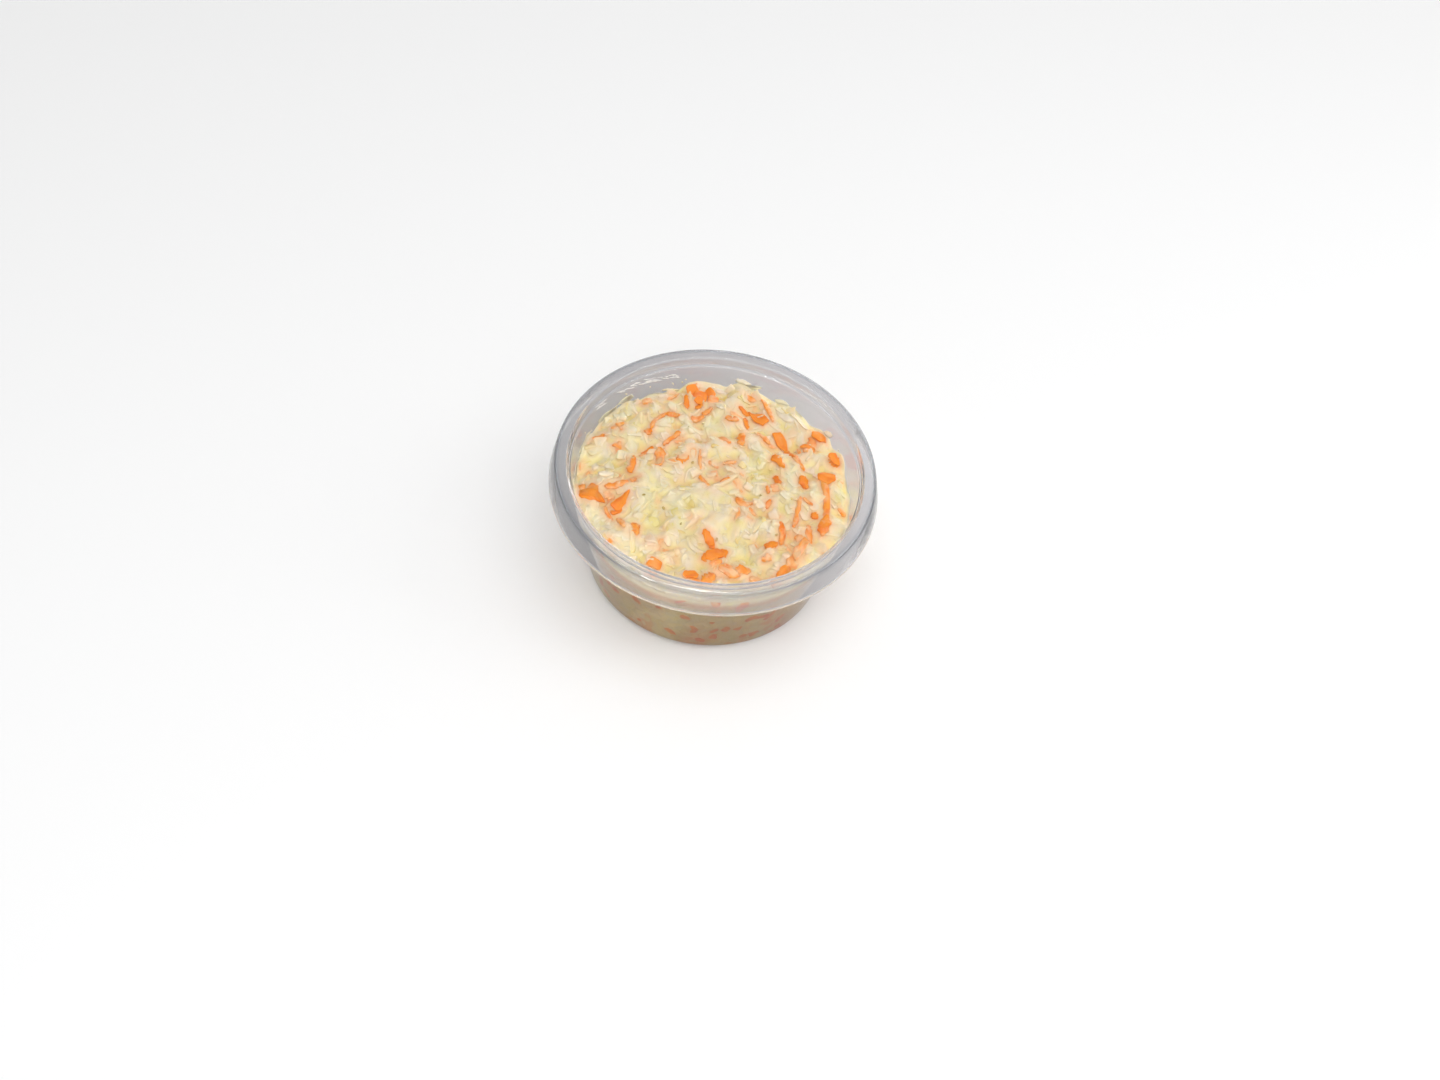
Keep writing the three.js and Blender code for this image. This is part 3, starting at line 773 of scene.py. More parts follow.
def peak_outline(a, b, nseg):
    """A leaf piece cut to a point, its tip towards +v, anticlockwise."""
    pts = np.array([(rng.uniform(-0.35, 0.35), 1.0), (-rng.uniform(0.65, 0.85), rng.uniform(0.15, 0.45)), (-1.0, -0.75), (0.0, -1.0), (1.0, -0.7), (rng.uniform(0.65, 0.85), rng.uniform(0.15, 0.45))]) * (a, b)
    nxt = np.roll(pts, -1, 0)
    cum = np.concatenate([[0], np.cumsum(np.linalg.norm(nxt - pts, axis=1))])
    s = np.arange(nseg) / nseg * cum[-1]
    j = np.clip(np.searchsorted(cum, s, "right") - 1, 0, len(pts) - 1)
    f = ((s - cum[j]) / (cum[j + 1] - cum[j]))[:, None]
    return pts[j] * (1 - f) + nxt[j] * f + rng.normal(0, 0.07, (nseg, 2))


def stand_pad(kind, x, y, a, b, lean, turn, proud, nseg=18):
    carrot = kind in ("carrot", "lobe")
    out = outline(a, b, WING, nseg, 0.04) if carrot else peak_outline(a, b, nseg)
    scale, off = FLAKE
    t = 0.9 if carrot else 0.7
    u = np.concatenate([[0.0], *(s * out[:, 0] for s in scale), [0.0]])
    v = np.concatenate([[0.0], *(s * out[:, 1] for s in scale), [0.0]])
    o = np.concatenate([[0.5], *(np.full(nseg, k) for k in off), [-0.46]]) * t
    o = o - 0.05 * u * u + 0.08 * np.sin(0.9 * u + 1.1 * v)
    ct, st = math.cos(math.radians(turn)), math.sin(math.radians(turn))
    cl, sl = math.cos(math.radians(lean)), math.sin(math.radians(lean))
    across, along = np.array([ct, st, 0.0]), np.array([-st * cl, ct * cl, sl])
    normal = np.cross(across, along)
    p = u[:, None] * across + v[:, None] * along + o[:, None] * normal
    ground = float(sample(soft, x, y)) + SHIFT + (0.0 if kind in ("carrot", "lobe") else 0.35)
    p += np.array([x, y, ground + proud - p[:, 2].max()])
    p[:, 2] -= max(0.0, float(p[:, 2].max()) - CEILING)
    past = float((np.hypot(p[:, 0], p[:, 1]) - inner_wall(np.maximum(p[:, 2], 0))).max()) + 0.15
    p[:, :2] -= max(0.0, past) * np.array([x, y]) / math.hypot(x, y)
    p = keep_in_wall(p, 0.02)
    totals, loops = ring_faces(5, nseg)
    tint, coat = {"carrot": (0.75, 0.04), "lobe": (0.3, 0.62)}.get(kind, (rng.uniform(0.0, 0.4), rng.uniform(0.55, 0.9)))
    local = np.stack([u, v, np.concatenate([[1.0], *(np.full(nseg, 2 * k) for k in off), [-0.92]])], 1)
    KINDS["carrot" if carrot else kind].add(p, totals, loops, tint, coat, local)


for x, y, a, b, lean, turn, proud, kind in STANDING:
    stand_pad(kind, x, y, a, b, lean, turn, proud)

# The dressing lies over the pieces as a thin skin, thicker in the creases; prouder edges and pieces stand out of it.
_coat = blur(rng.normal(0, 1, (NG, NG)), 2.4)
CREAM_TOP = np.maximum(blur(height, 0.75) + 0.17 + 0.11 * _coat / _coat.std(), blur(height, 1.3)) - 0.75 * blur(TONE["bare"], 0.45)

# ----------------------------------------------------------------------------------------------
# Pieces pressed against the wall and on the floor of the cup
# ----------------------------------------------------------------------------------------------
EDGE_Z = {}
_edge_ang = np.linspace(-math.pi, math.pi, 721)
_edge_h = sample(blur(height, 1.0), (FILL_R - 0.25) * np.cos(_edge_ang), (FILL_R - 0.25) * np.sin(_edge_ang))


def edge_height(ang):
    return np.interp((np.asarray(ang) + math.pi) % (2 * math.pi) - math.pi, _edge_ang, _edge_h)


PRESSED = (np.array([0.62, 0.93, 1.0]), np.array([1.0, 0.86, -0.10]))


def press_wall(kind, ang, z, a, b, yaw, depth, tint, coat, corners=5, nseg=12):
    out = outline(a, b, corners, nseg, 0.05)
    scale, off = PRESSED
    u = np.concatenate([[0.0], *(s * out[:, 0] for s in scale), [0.0]])
    v = np.concatenate([[0.0], *(s * out[:, 1] for s in scale), [0.0]])
    d = np.concatenate([[1.0], *(np.full(nseg, k) for k in off), [-3.0]]) * depth
    cy, sy = math.cos(yaw), math.sin(yaw)
    s, h = u * cy - v * sy, u * sy + v * cy
    zz = np.maximum(z + h, WALL + 0.05 + 0.02 * (z + h))
    # on the rounded corner at the bottom the pieces follow the fillet
    r = inner_wall(np.maximum(zz, 0)) + d
    aa = ang + s / 48.0
    low = BASE_FILLET + 0.6
    k = np.clip((low - zz) / (low - WALL), 0, 0.98)
    r = r - (BASE_FILLET - WALL) * (1 - np.sqrt(1 - k * k))
    edge = edge_height(aa) + 0.2
    zz = np.minimum(zz, edge)
    p = np.stack([r * np.cos(aa), r * np.sin(aa), zz], 1)
    totals, loops = ring_faces(3, nseg)
    KINDS[kind].add(p, totals, loops, tint, coat, np.stack([u, v, np.zeros(len(u))], 1))


def press_floor(kind, x, y, a, b, yaw, depth, tint, coat, nseg=12):
    out = outline(a, b, 5, nseg, 0.05)
    scale, off = PRESSED
    u = np.concatenate([[0.0], *(s * out[:, 0] for s in scale), [0.0]])
    v = np.concatenate([[0.0], *(s * out[:, 1] for s in scale), [0.0]])
    d = np.concatenate([[1.0], *(np.full(nseg, k) for k in off), [-3.0]]) * depth
    cy, sy = math.cos(yaw), math.sin(yaw)
    p = np.stack([x + u * cy - v * sy, y - (u * sy + v * cy), FLOOR_Z - d], 1)
    totals, loops = ring_faces(3, nseg)
    KINDS[kind].add(p, totals, loops, tint, coat, np.stack([u, v, np.zeros(len(u))], 1))


FLOOR_Z = WALL - 0.06
WALL_PIECES = 1250
for i in range(WALL_PIECES):
    ang = rng.uniform(-math.pi, math.pi)
    z = 1.6 + (float(edge_height(ang)) - 1.4) * rng.random()
    pick = rng.random()
    depth = rng.uniform(0.05, 0.22)
    yaw = rng.uniform(0, 6.28)
    coat = float(np.clip(rng.normal(0.35, 0.2), 0, 1))
    if pick < 0.30:
        press_wall("white", ang, z, rng.uniform(1.8, 4.2), rng.uniform(1.2, 2.8), yaw, depth, rng.random(), coat)
    elif pick < 0.52:
        press_wall("yellow", ang, z, rng.uniform(1.6, 3.8), rng.uniform(1.1, 2.5), yaw, depth, rng.random() ** 1.6 * 0.9, coat)
    elif pick < 0.66:
        press_wall("rib", ang, z, rng.uniform(1.2, 2.8), rng.uniform(0.9, 1.8), yaw, depth, rng.random(), coat)
    elif pick < 0.72:
        press_wall("green", ang, z, rng.uniform(1.2, 2.8), rng.uniform(0.8, 1.8), yaw, depth, rng.random() ** 2 * 0.7, coat)
    elif pick < 0.88:
        press_wall("white" if rng.random() < 0.6 else "yellow", ang, z, rng.uniform(3.0, 6.0), rng.uniform(0.6, 1.2), rng.normal(0, 0.5) + (1.57 if rng.random() < 0.4 else 0), depth, rng.random(), coat)
    elif pick < 0.93:
        press_wall("carrot", ang, z, rng.uniform(1.8, 4.4), rng.uniform(1.2, 2.3), yaw, depth + 0.14, 0.3 + rng.random() * 0.6, float(np.clip(rng.normal(0.15, 0.15), 0.0, 0.5)), corners=4)
# Carrot pieces that show through the front of the wall: angle round the cup in degrees, height, half length, half width, turn.
for deg, z, a, b, yaw in [
    (-128.7, 18.0, 2.2, 1.6, 0.4), (-116.5, 22.1, 2.9, 1.7, -1.0), (-115.8, 7.7, 1.6, 1.2, 0.8), (-94.2, 22.6, 3.1, 1.9, -0.5), (-90.3, 15.8, 2.3, 1.7, -0.6), (-100.2, 9.0, 3.2, 2.2, -0.5),
    (-86.5, 6.6, 2.6, 1.7, -0.3), (-65.7, 21.4, 3.3, 2.0, 0.6), (-66.5, 8.2, 2.4, 1.7, 0.3), (-62.0, 7.0, 1.8, 1.4, 1.0), (-49.5, 12.6, 3.4, 2.0, 0.9), (-82.7, 20.8, 1.4, 1.0, 0.2), (-105.9, 24.4, 1.8, 1.2, 0.5),
]:
    press_wall("carrot", math.radians(deg), z, a, b, yaw, 0.34, rng.uniform(0.4, 1.0), rng.uniform(0.0, 0.2), corners=5, nseg=16)
FLOOR_PIECES = 380
for i in range(FLOOR_PIECES):
    r, a0 = 38.4 * math.sqrt(rng.random()), rng.uniform(0, 6.28)
    kind = ("white", "white", "yellow", "rib", "green", "carrot", "yellow", "rib")[int(rng.integers(0, 8))]
    carrot = kind == "carrot"
    press_floor(kind, r * math.cos(a0), r * math.sin(a0), rng.uniform(1.2, 3.2), rng.uniform(0.5, 0.9) if carrot else rng.uniform(0.9, 2.0), rng.uniform(0, 6.28), rng.uniform(0.04, 0.16), rng.random(), 0.4)


# ----------------------------------------------------------------------------------------------
# Dressing: the mass between the pieces, out to the wall, with smears of it above the edge
# ----------------------------------------------------------------------------------------------
def dressing_mesh(nseg, rings, sides):
    ang = np.arange(nseg) * 2 * math.pi / nseg
    cream = CREAM_TOP
    rows = [np.array([[0.0, 0.0, FLOOR_Z]])]
    for r in (12.0, 24.0, 33.0, 37.5):
        rows.append(np.stack([r * np.cos(ang), r * np.sin(ang), np.full(nseg, FLOOR_Z)], 1))
    path = fillet_path([(0, FLOOR_Z, 0), (inner_wall(FLOOR_Z) + 0.04, FLOOR_Z, BASE_FILLET - WALL - 0.05), (inner_wall(30) + 0.04, 30, 0)])
    path = [q for q in path[1:-1] if q[0] > 38.2]
    for r, z in path:
        rows.append(np.stack([r * np.cos(ang), r * np.sin(ang), np.full(nseg, z)], 1))
    z0 = path[-1][1]
    edge_r = inner_wall(FILL_Z) + 0.04
    edge_z = sample(blur(cream, 0.8), (FILL_R - 0.3) * np.cos(ang), (FILL_R - 0.3) * np.sin(ang)) + 0.25
    tallest = np.max([sample(height, (FILL_R - d) * np.cos(ang), (FILL_R - d) * np.sin(ang)) for d in (0.3, 0.8, 1.3, 1.8)], axis=0)
    reach = max(1, nseg // 240)
    tallest = np.max([np.roll(tallest, k) for k in range(-reach, reach + 1)], axis=0) - 0.40
    edge_z = np.maximum(edge_z, sum(np.roll(tallest, k) for k in range(-reach, reach + 1)) / (2 * reach + 1))
    for i in range(1, sides + 1):
        z = z0 + (edge_z - z0) * i / sides
        r = inner_wall(z) + 0.04
        rows.append(np.stack([r * np.cos(ang), r * np.sin(ang), z], 1))
    last = rows[-1][:, 2]
    for i in range(rings - 1, 0, -1):
        r = edge_r * (i / rings)
        x, y = r * np.cos(ang), r * np.sin(ang)
        z = sample(cream, x, y)
        w = np.clip((r - FILL_R + 1.9) / 2.2, 0, 1)
        rows.append(np.stack([x, y, z * (1 - w) + (last - 0.05) * w], 1))
    rows.append(np.array([[0.0, 0.0, float(sample(cream, 0, 0))]]))
    verts = np.concatenate(rows)
    idx = np.arange(nseg)
    nxt = (idx + 1) % nseg
    totals = [np.full(nseg, 3)]
    loops = [np.stack([np.zeros(nseg, int), 1 + nxt, 1 + idx], 1).ravel()]
    for k in range(len(rows) - 3):
        a = 1 + k * nseg
        b = a + nseg
        totals.append(np.full(nseg, 4))
        loops.append(np.stack([a + idx, a + nxt, b + nxt, b + idx], 1).ravel())
    a = 1 + (len(rows) - 3) * nseg
    totals.append(np.full(nseg, 3))
    loops.append(np.stack([a + idx, a + nxt, np.full(nseg, len(verts) - 1)], 1).ravel())
    return verts, np.concatenate(totals), np.concatenate(loops)


def smear_and_glint_streak(ang, z, a, b, yaw, thick, nseg=20):
    """A thin patch on the inner wall: a lick of dressing left above the coleslaw, and, in near white, each painted
    reflection streak as well.
    """
    out = outline(a, b, 7, nseg, 0.10)
    scale, off = np.array([0.6, 0.9, 1.0]), np.array([-1.0, -0.7, 0.3])
    u = np.concatenate([[0.0], *(s * out[:, 0] for s in scale), [0.0]])
    v = np.concatenate([[0.0], *(s * out[:, 1] for s in scale), [0.0]])
    d = np.concatenate([[-1.0], *(np.full(nseg, k) for k in off), [0.3]]) * thick
    cy, sy = math.cos(yaw), math.sin(yaw)
    s, h = u * cy - v * sy, u * sy + v * cy
    zz = z + h
    r = inner_wall(zz) + np.where(d > 0, 0.03, d)
    aa = ang - s / 49.5  # seen from inside
    totals, loops = ring_faces(3, nseg)
    return np.stack([r * np.cos(aa), r * np.sin(aa), zz], 1), totals, loops


parts = [dressing_mesh(480, 165, 16)]
glint_streaks = []
for i in range(46):
    ang = rng.normal(math.radians(178), math.radians(38)) if i % 3 else rng.uniform(math.radians(-20), math.radians(230))
    a, b = rng.uniform(1.5, 6.0), rng.uniform(0.6, 1.7)
    z = float(edge_height(ang)) + rng.uniform(-0.2, 1.3) * b
    parts.append(smear_and_glint_streak(ang, z, a, b, rng.normal(0, 0.18), rng.uniform(0.08, 0.28)))
for i in range(26):
    ang = rng.normal(math.radians(170), math.radians(60))
    parts.append(smear_and_glint_streak(ang, float(edge_height(ang)) + rng.uniform(1.0, 4.5), rng.uniform(0.25, 0.8), rng.uniform(0.2, 0.5), rng.uniform(0, 3.1), 0.12, 10))
for i in range(44):  # painted reflection: near-white streaks high on the far left of the wall, in place of light glinting on the plastic
    turn = 112 + 42 * rng.random() ** 1.3
    glint_streaks.append(smear_and_glint_streak(math.radians(turn), CUP_H - 7.0 + 0.055 * (turn - 112) + rng.uniform(-1.0, 1.0), rng.uniform(1.0, 2.4), rng.uniform(0.09, 0.17), -0.22 + rng.normal(0, 0.08), 0.09, 12))
_n = np.cumsum([0] + [len(p[0]) for p in glint_streaks])
wall_glint_streaks = mesh_object("wall_glint_streaks", np.concatenate([p[0] for p in glint_streaks]), (np.concatenate([p[1] for p in glint_streaks]), np.concatenate([p[2] + _n[i] for i, p in enumerate(glint_streaks)])))
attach(wall_glint_streaks, "root")
counts = np.cumsum([0] + [len(p[0]) for p in parts])
core = mesh_object("dressing", np.concatenate([p[0] for p in parts]), (np.concatenate([p[1] for p in parts]), np.concatenate([p[2] + counts[i] for i, p in enumerate(parts)])))
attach(core, "root")
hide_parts("coleslaw")

# ----------------------------------------------------------------------------------------------
# Materials
# ----------------------------------------------------------------------------------------------
def new_material(name):
    m = bpy.data.materials.new(name)
    m.use_nodes = True
    nt = m.node_tree
    for n in list(nt.nodes):
        nt.nodes.remove(n)
    return m, nt


def node(nt, kind, **inputs):
    n = nt.nodes.new(kind)
    for k, v in inputs.items():
        if k.startswith("_"):
            setattr(n, k[1:], v)
        else:
            n.inputs[k.replace("_", " ")].default_value = v
    return n


def ramp(nt, source, stops):
    n = nt.nodes.new("ShaderNodeValToRGB")
    els = n.color_ramp.elements
    while len(els) < len(stops):
        els.new(0.5)
    for e, (pos, c) in zip(els, stops):
        e.position = pos
        e.color = (*c, 1) if len(c) == 3 else c
    nt.links.new(source, n.inputs["Fac"])
    return n.outputs["Color"]


def grey(v):
    return (v, v, v)


def mix_rgb(nt, fac, a, b, mode="MIX"):
    n = nt.nodes.new("ShaderNodeMix")
    n.data_type = "RGBA"
    n.blend_type = mode
    for value, socket in ((fac, n.inputs[0]), (a, n.inputs[6]), (b, n.inputs[7])):
        if isinstance(value, (int, float)):
            socket.default_value = value
        elif isinstance(value, tuple):
            socket.default_value = (*value, 1)
        else:
            nt.links.new(value, socket)
    return n.outputs[2]


def maths(nt, op, a, b=None, clamp=False):
    n = nt.nodes.new("ShaderNodeMath")
    n.operation = op
    n.use_clamp = clamp
    for value, socket in ((a, n.inputs[0]), (b, n.inputs[1])):
        if value is None:
            continue
        if isinstance(value, (int, float)):
            socket.default_value = value
        else:
            nt.links.new(value, socket)
    return n.outputs[0]


def noise(nt, vector, scale, detail=3.0, rough=0.5, out="Fac"):
    n = node(nt, "ShaderNodeTexNoise")
    n.inputs["Scale"].default_value = scale
    n.inputs["Detail"].default_value = detail
    n.inputs["Roughness"].default_value = rough
    nt.links.new(vector, n.inputs["Vector"])
    return n.outputs[out]


def stretched(nt, vector, scale):
    n = nt.nodes.new("ShaderNodeMapping")
    n.inputs["Scale"].default_value = scale
    nt.links.new(vector, n.inputs["Vector"])
    return n.outputs["Vector"]


CREAM = (0.785, 0.708, 0.528)


def plastic_material():
    """Clear plastic, a little smoky where the sheet is thick at the rim, with the slight unevenness of a moulding."""
    m, nt = new_material("clear_plastic")
    out = node(nt, "ShaderNodeOutputMaterial")
    p = node(nt, "ShaderNodeBsdfPrincipled")
    tc = node(nt, "ShaderNodeTexCoord")
    sep = node(nt, "ShaderNodeSeparateXYZ")
    nt.links.new(tc.outputs["Object"], sep.inputs[0])
    high = maths(nt, "DIVIDE", sep.outputs[2], 0.05)
    cloud = noise(nt, tc.outputs["Object"], 60.0, 3.0)
    tone = ramp(nt, high, [(0.0, (0.955, 0.95, 0.955)), (level(14.3), (0.95, 0.945, 0.95)), (level(1.8), (0.90, 0.895, 0.905))])
    tone = mix_rgb(nt, ramp(nt, cloud, [(0.3, grey(0.0)), (0.7, grey(0.30))]), tone, (0.93, 0.93, 0.94))
    # the sheet is thicker where it turns from the flat rim down into the skirt, and the rolled edge of the skirt is milky
    radius = nt.nodes.new("ShaderNodeVectorMath")
    radius.operation = "LENGTH"
    nt.links.new(stretched(nt, tc.outputs["Object"], (1, 1, 0)), radius.inputs[0])
    wide = maths(nt, "DIVIDE", radius.outputs["Value"], 0.06)
    corner = maths(nt, "MULTIPLY", ramp(nt, wide, [(0.912, grey(0.0)), (0.928, grey(1.0))]), ramp(nt, high, [(level(2.6), grey(0.0)), (level(1.2), grey(1.0))]))
    nt.links.new(mix_rgb(nt, corner, tone, (0.68, 0.70, 0.735)), p.inputs["Base Color"])
    edge = maths(nt, "MULTIPLY", ramp(nt, wide, [(0.950, grey(0.0)), (0.956, grey(1.0))]), ramp(nt, high, [(level(8.6), grey(1.0)), (level(8.2), grey(0.0))]))
    nt.links.new(ramp(nt, cloud, [(0.3, grey(0.02)), (0.75, grey(0.055))]), p.inputs["Roughness"])
    clear = ramp(nt, high, [(0.0, grey(0.985)), (level(14.3), grey(0.975)), (level(9.3), grey(0.945)), (level(1.8), grey(0.92))])
    nt.links.new(maths(nt, "SUBTRACT", clear, maths(nt, "MULTIPLY", edge, 0.10)), p.inputs["Transmission Weight"])
    p.inputs["IOR"].default_value = 1.49
    bump = node(nt, "ShaderNodeBump")
    bump.inputs["Strength"].default_value = 0.06
    bump.inputs["Distance"].default_value = 0.0004
    nt.links.new(noise(nt, stretched(nt, tc.outputs["Object"], (1, 1, 0.35)), 90.0, 2.0), bump.inputs["Height"])
    nt.links.new(bump.outputs[0], p.inputs["Normal"])
    lp = node(nt, "ShaderNodeLightPath")
    tr = node(nt, "ShaderNodeBsdfTransparent")
    tr.inputs["Color"].default_value = (0.985, 0.985, 0.985, 1)
    mix = node(nt, "ShaderNodeMixShader")
    nt.links.new(lp.outputs["Is Shadow Ray"], mix.inputs[0])
    nt.links.new(p.outputs[0], mix.inputs[1])
    nt.links.new(tr.outputs[0], mix.inputs[2])
    nt.links.new(mix.outputs[0], out.inputs["Surface"])
    return m


HOLLOW_SHADE_GOLD = (0.78, 0.62, 0.22)
PEACH = (0.88, 0.55, 0.32)


def with_mood(nt, tc, colour):
    """Slow changes of hue over the heap; hollows get a painted gold shade and creases a painted lighter tint, and what
    touches carrot takes a peach tint.
    """
    slow = noise(nt, tc.outputs["Object"], 105.0, 2.0, 0.5)
    colour = mix_rgb(nt, ramp(nt, slow, [(0.36, grey(0.0)), (0.66, grey(1.0))]), mix_rgb(nt, 1.0, colour, (1.0, 1.005, 0.92), "MULTIPLY"), mix_rgb(nt, 1.0, colour, (1.02, 0.955, 1.02), "MULTIPLY"))
    at = node(nt, "ShaderNodeAttribute", _attribute_name="mood", _attribute_type="GEOMETRY")
    sep = node(nt, "ShaderNodeSeparateXYZ")
    nt.links.new(at.outputs["Vector"], sep.inputs[0])
    crease_glow_mask = node(nt, "ShaderNodeAttribute", _attribute_name="crease", _attribute_type="GEOMETRY")
    # painted light: creases and steep slopes are coloured a brighter warm yellow, lifting their shade
    colour = mix_rgb(nt, maths(nt, "MULTIPLY", crease_glow_mask.outputs["Fac"], 0.62), colour, (0.95, 0.85, 0.42))
    # painted shade: hollows are coloured a deeper gold
    colour = mix_rgb(nt, maths(nt, "MULTIPLY", sep.outputs[1], 0.85), colour, HOLLOW_SHADE_GOLD)
    return mix_rgb(nt, maths(nt, "MULTIPLY", sep.outputs[0], 0.66), colour, PEACH)


def painted_wall_shade(nt, tc, colour, carrot=False):
    """Painted shade down the wall: the coleslaw against the wall is coloured darker and browner towards the bottom, in
    place of the shade under the rim and skirt, with an orange-tan band part way up and a painted lighter band just
    below the top.
    """
    sep = node(nt, "ShaderNodeSeparateXYZ")
    nt.links.new(tc.outputs["Object"], sep.inputs[0])
    high = maths(nt, "DIVIDE", sep.outputs[2], 0.05)
    wavy = maths(nt, "ADD", high, maths(nt, "MULTIPLY", maths(nt, "SUBTRACT", noise(nt, tc.outputs["Object"], 90.0, 2.0), 0.5), 0.06))
    # painted shade and light: dark low down, orange-tan part way up, a painted lighter band near the top
    tone = ramp(nt, wavy, [(0.05, (0.54, 0.42, 0.22)), (0.40, (0.62, 0.52, 0.30)), (level(22.6), (0.64, 0.53, 0.31)), (level(21.4), (0.76, 0.49, 0.23)), (level(19.4), (0.82, 0.51, 0.22)), (level(17.8), (1.02, 0.88, 0.60)), (level(16.4), (1.16, 1.18, 1.02)), (level(12.0), (1.0, 1.0, 1.0))])
    broad = noise(nt, tc.outputs["Object"], 38.0, 2.0, 0.5)
    patches = ramp(nt, broad, [(0.38, (1.16, 1.26, 1.42)), (0.47, (1.0, 1.0, 1.0)), (0.55, (1.0, 0.98, 0.95)), (0.64, (1.06, 0.90, 0.72))])
    tone = mix_rgb(nt, ramp(nt, high, [(level(21.0), grey(1.0)), (level(18.0), grey(0.0))]), tone, mix_rgb(nt, 1.0, tone, patches, "MULTIPLY"))
    if carrot:
        tone = mix_rgb(nt, ramp(nt, high, [(level(23.0), grey(1.0)), (level(19.0), grey(0.0))]), tone, mix_rgb(nt, 1.0, tone, (0.99, 0.96, 0.58), "MULTIPLY"))
    return mix_rgb(nt, 1.0, colour, tone, "MULTIPLY")


def food_material(name, tints, deep, fibre, coat_limits, sss, sss_radius, rough=(0.46, 0.36), cream=None):
    """A wet chopped vegetable: its own colour with fibres, and dressing lying on it in patches."""
    m, nt = new_material(name)
    out = node(nt, "ShaderNodeOutputMaterial")
    p = node(nt, "ShaderNodeBsdfPrincipled")
    tc = node(nt, "ShaderNodeTexCoord")
    chip = node(nt, "ShaderNodeAttribute", _attribute_name="chip", _attribute_type="GEOMETRY")
    sep = node(nt, "ShaderNodeSeparateXYZ")
    nt.links.new(chip.outputs["Vector"], sep.inputs[0])
    local = node(nt, "ShaderNodeAttribute", _attribute_name="local", _attribute_type="GEOMETRY")
    base = ramp(nt, sep.outputs[0], tints)
    # fibres run along the piece
    shifted = nt.nodes.new("ShaderNodeVectorMath")
    shifted.operation = "ADD"
    spread = nt.nodes.new("ShaderNodeVectorMath")
    spread.operation = "SCALE"
    spread.inputs["Scale"].default_value = 37.0
    nt.links.new(chip.outputs["Vector"], spread.inputs[0])
    nt.links.new(local.outputs["Vector"], shifted.inputs[0])
    nt.links.new(spread.outputs[0], shifted.inputs[1])
    streaks = noise(nt, stretched(nt, shifted.outputs[0], fibre), 1.0, 3.0, 0.55)
    base = mix_rgb(nt, ramp(nt, streaks, [(0.40, grey(0.0)), (0.72, grey(0.55))]), base, deep)
    # painted light: a piece's thin sides are coloured lighter, as if light came through them, lifting their shade
    flat = node(nt, "ShaderNodeSeparateXYZ")
    nt.links.new(local.outputs["Vector"], flat.inputs[0])
    side = ramp(nt, flat.outputs[2], [(0.0, grey(1.0)), (0.75, grey(0.0))])
    painted_side_glow = maths(nt, "MULTIPLY", side, ramp(nt, sep.outputs[1], [(0.35, grey(0.55)), (0.70, grey(0.25))])) if cream else maths(nt, "MULTIPLY", side, 0.55)
    base = mix_rgb(nt, painted_side_glow, base, (0.95, 0.46, 0.10) if cream else (0.90, 0.79, 0.50))
    # dressing
    patch = noise(nt, tc.outputs["Object"], 310.0, 3.0, 0.55)
    lean = maths(nt, "ADD", patch, maths(nt, "MULTIPLY", maths(nt, "SUBTRACT", sep.outputs[1], 0.5), 0.42))
    cover = ramp(nt, lean, [(coat_limits[0], grey(0.0)), (coat_limits[1], grey(1.0))])
    if cream:  # carrot: deep red orange at some ends, peach where it dips under the dressing
        ends = noise(nt, stretched(nt, shifted.outputs[0], (0.22, 0.5, 0.3)), 1.0, 1.0, 0.4)
        base = mix_rgb(nt, ramp(nt, ends, [(0.50, grey(0.0)), (0.64, grey(0.65))]), base, (0.80, 0.17, 0.012))
        at = node(nt, "ShaderNodeAttribute", _attribute_name="mood", _attribute_type="GEOMETRY")
        dip = node(nt, "ShaderNodeSeparateXYZ")
        nt.links.new(at.outputs["Vector"], dip.inputs[0])
        bare = ramp(nt, sep.outputs[1], [(0.05, grey(0.20)), (0.40, grey(0.85))])
        cover = maths(nt, "MULTIPLY", cover, ramp(nt, sep.outputs[1], [(0.08, grey(0.25)), (0.35, grey(1.0))]))
        colour = mix_rgb(nt, maths(nt, "MAXIMUM", maths(nt, "MULTIPLY", cover, 0.80), maths(nt, "MULTIPLY", dip.outputs[2], bare)), base, cream)
    else:
        colour = with_mood(nt, tc, mix_rgb(nt, maths(nt, "MULTIPLY", cover, 0.86), base, CREAM))
    nt.links.new(painted_wall_shade(nt, tc, colour, bool(cream)), p.inputs["Base Color"])
    nt.links.new(ramp(nt, cover, [(0.0, grey(rough[0])), (1.0, grey(rough[1]))]), p.inputs["Roughness"])
    p.inputs["Subsurface Weight"].default_value = sss
    p.inputs["Subsurface Radius"].default_value = sss_radius
    p.inputs["Subsurface Scale"].default_value = 0.0005
    p.inputs["IOR"].default_value = 1.38
    p.inputs["Coat Weight"].default_value = 0.08
    p.inputs["Coat Roughness"].default_value = 0.20
    fine = noise(nt, tc.outputs["Object"], 1300.0, 3.0, 0.6)
    swell = maths(nt, "ADD", maths(nt, "MULTIPLY", cover, 0.9), maths(nt, "ADD", maths(nt, "MULTIPLY", fine, 0.5), maths(nt, "MULTIPLY", streaks, 0.55)))
    bump = node(nt, "ShaderNodeBump")
    bump.inputs["Strength"].default_value = 0.55
    bump.inputs["Distance"].default_value = 0.00022
    nt.links.new(swell, bump.inputs["Height"])
    nt.links.new(bump.outputs[0], p.inputs["Normal"])
    nt.links.new(p.outputs[0], out.inputs["Surface"])
    return m


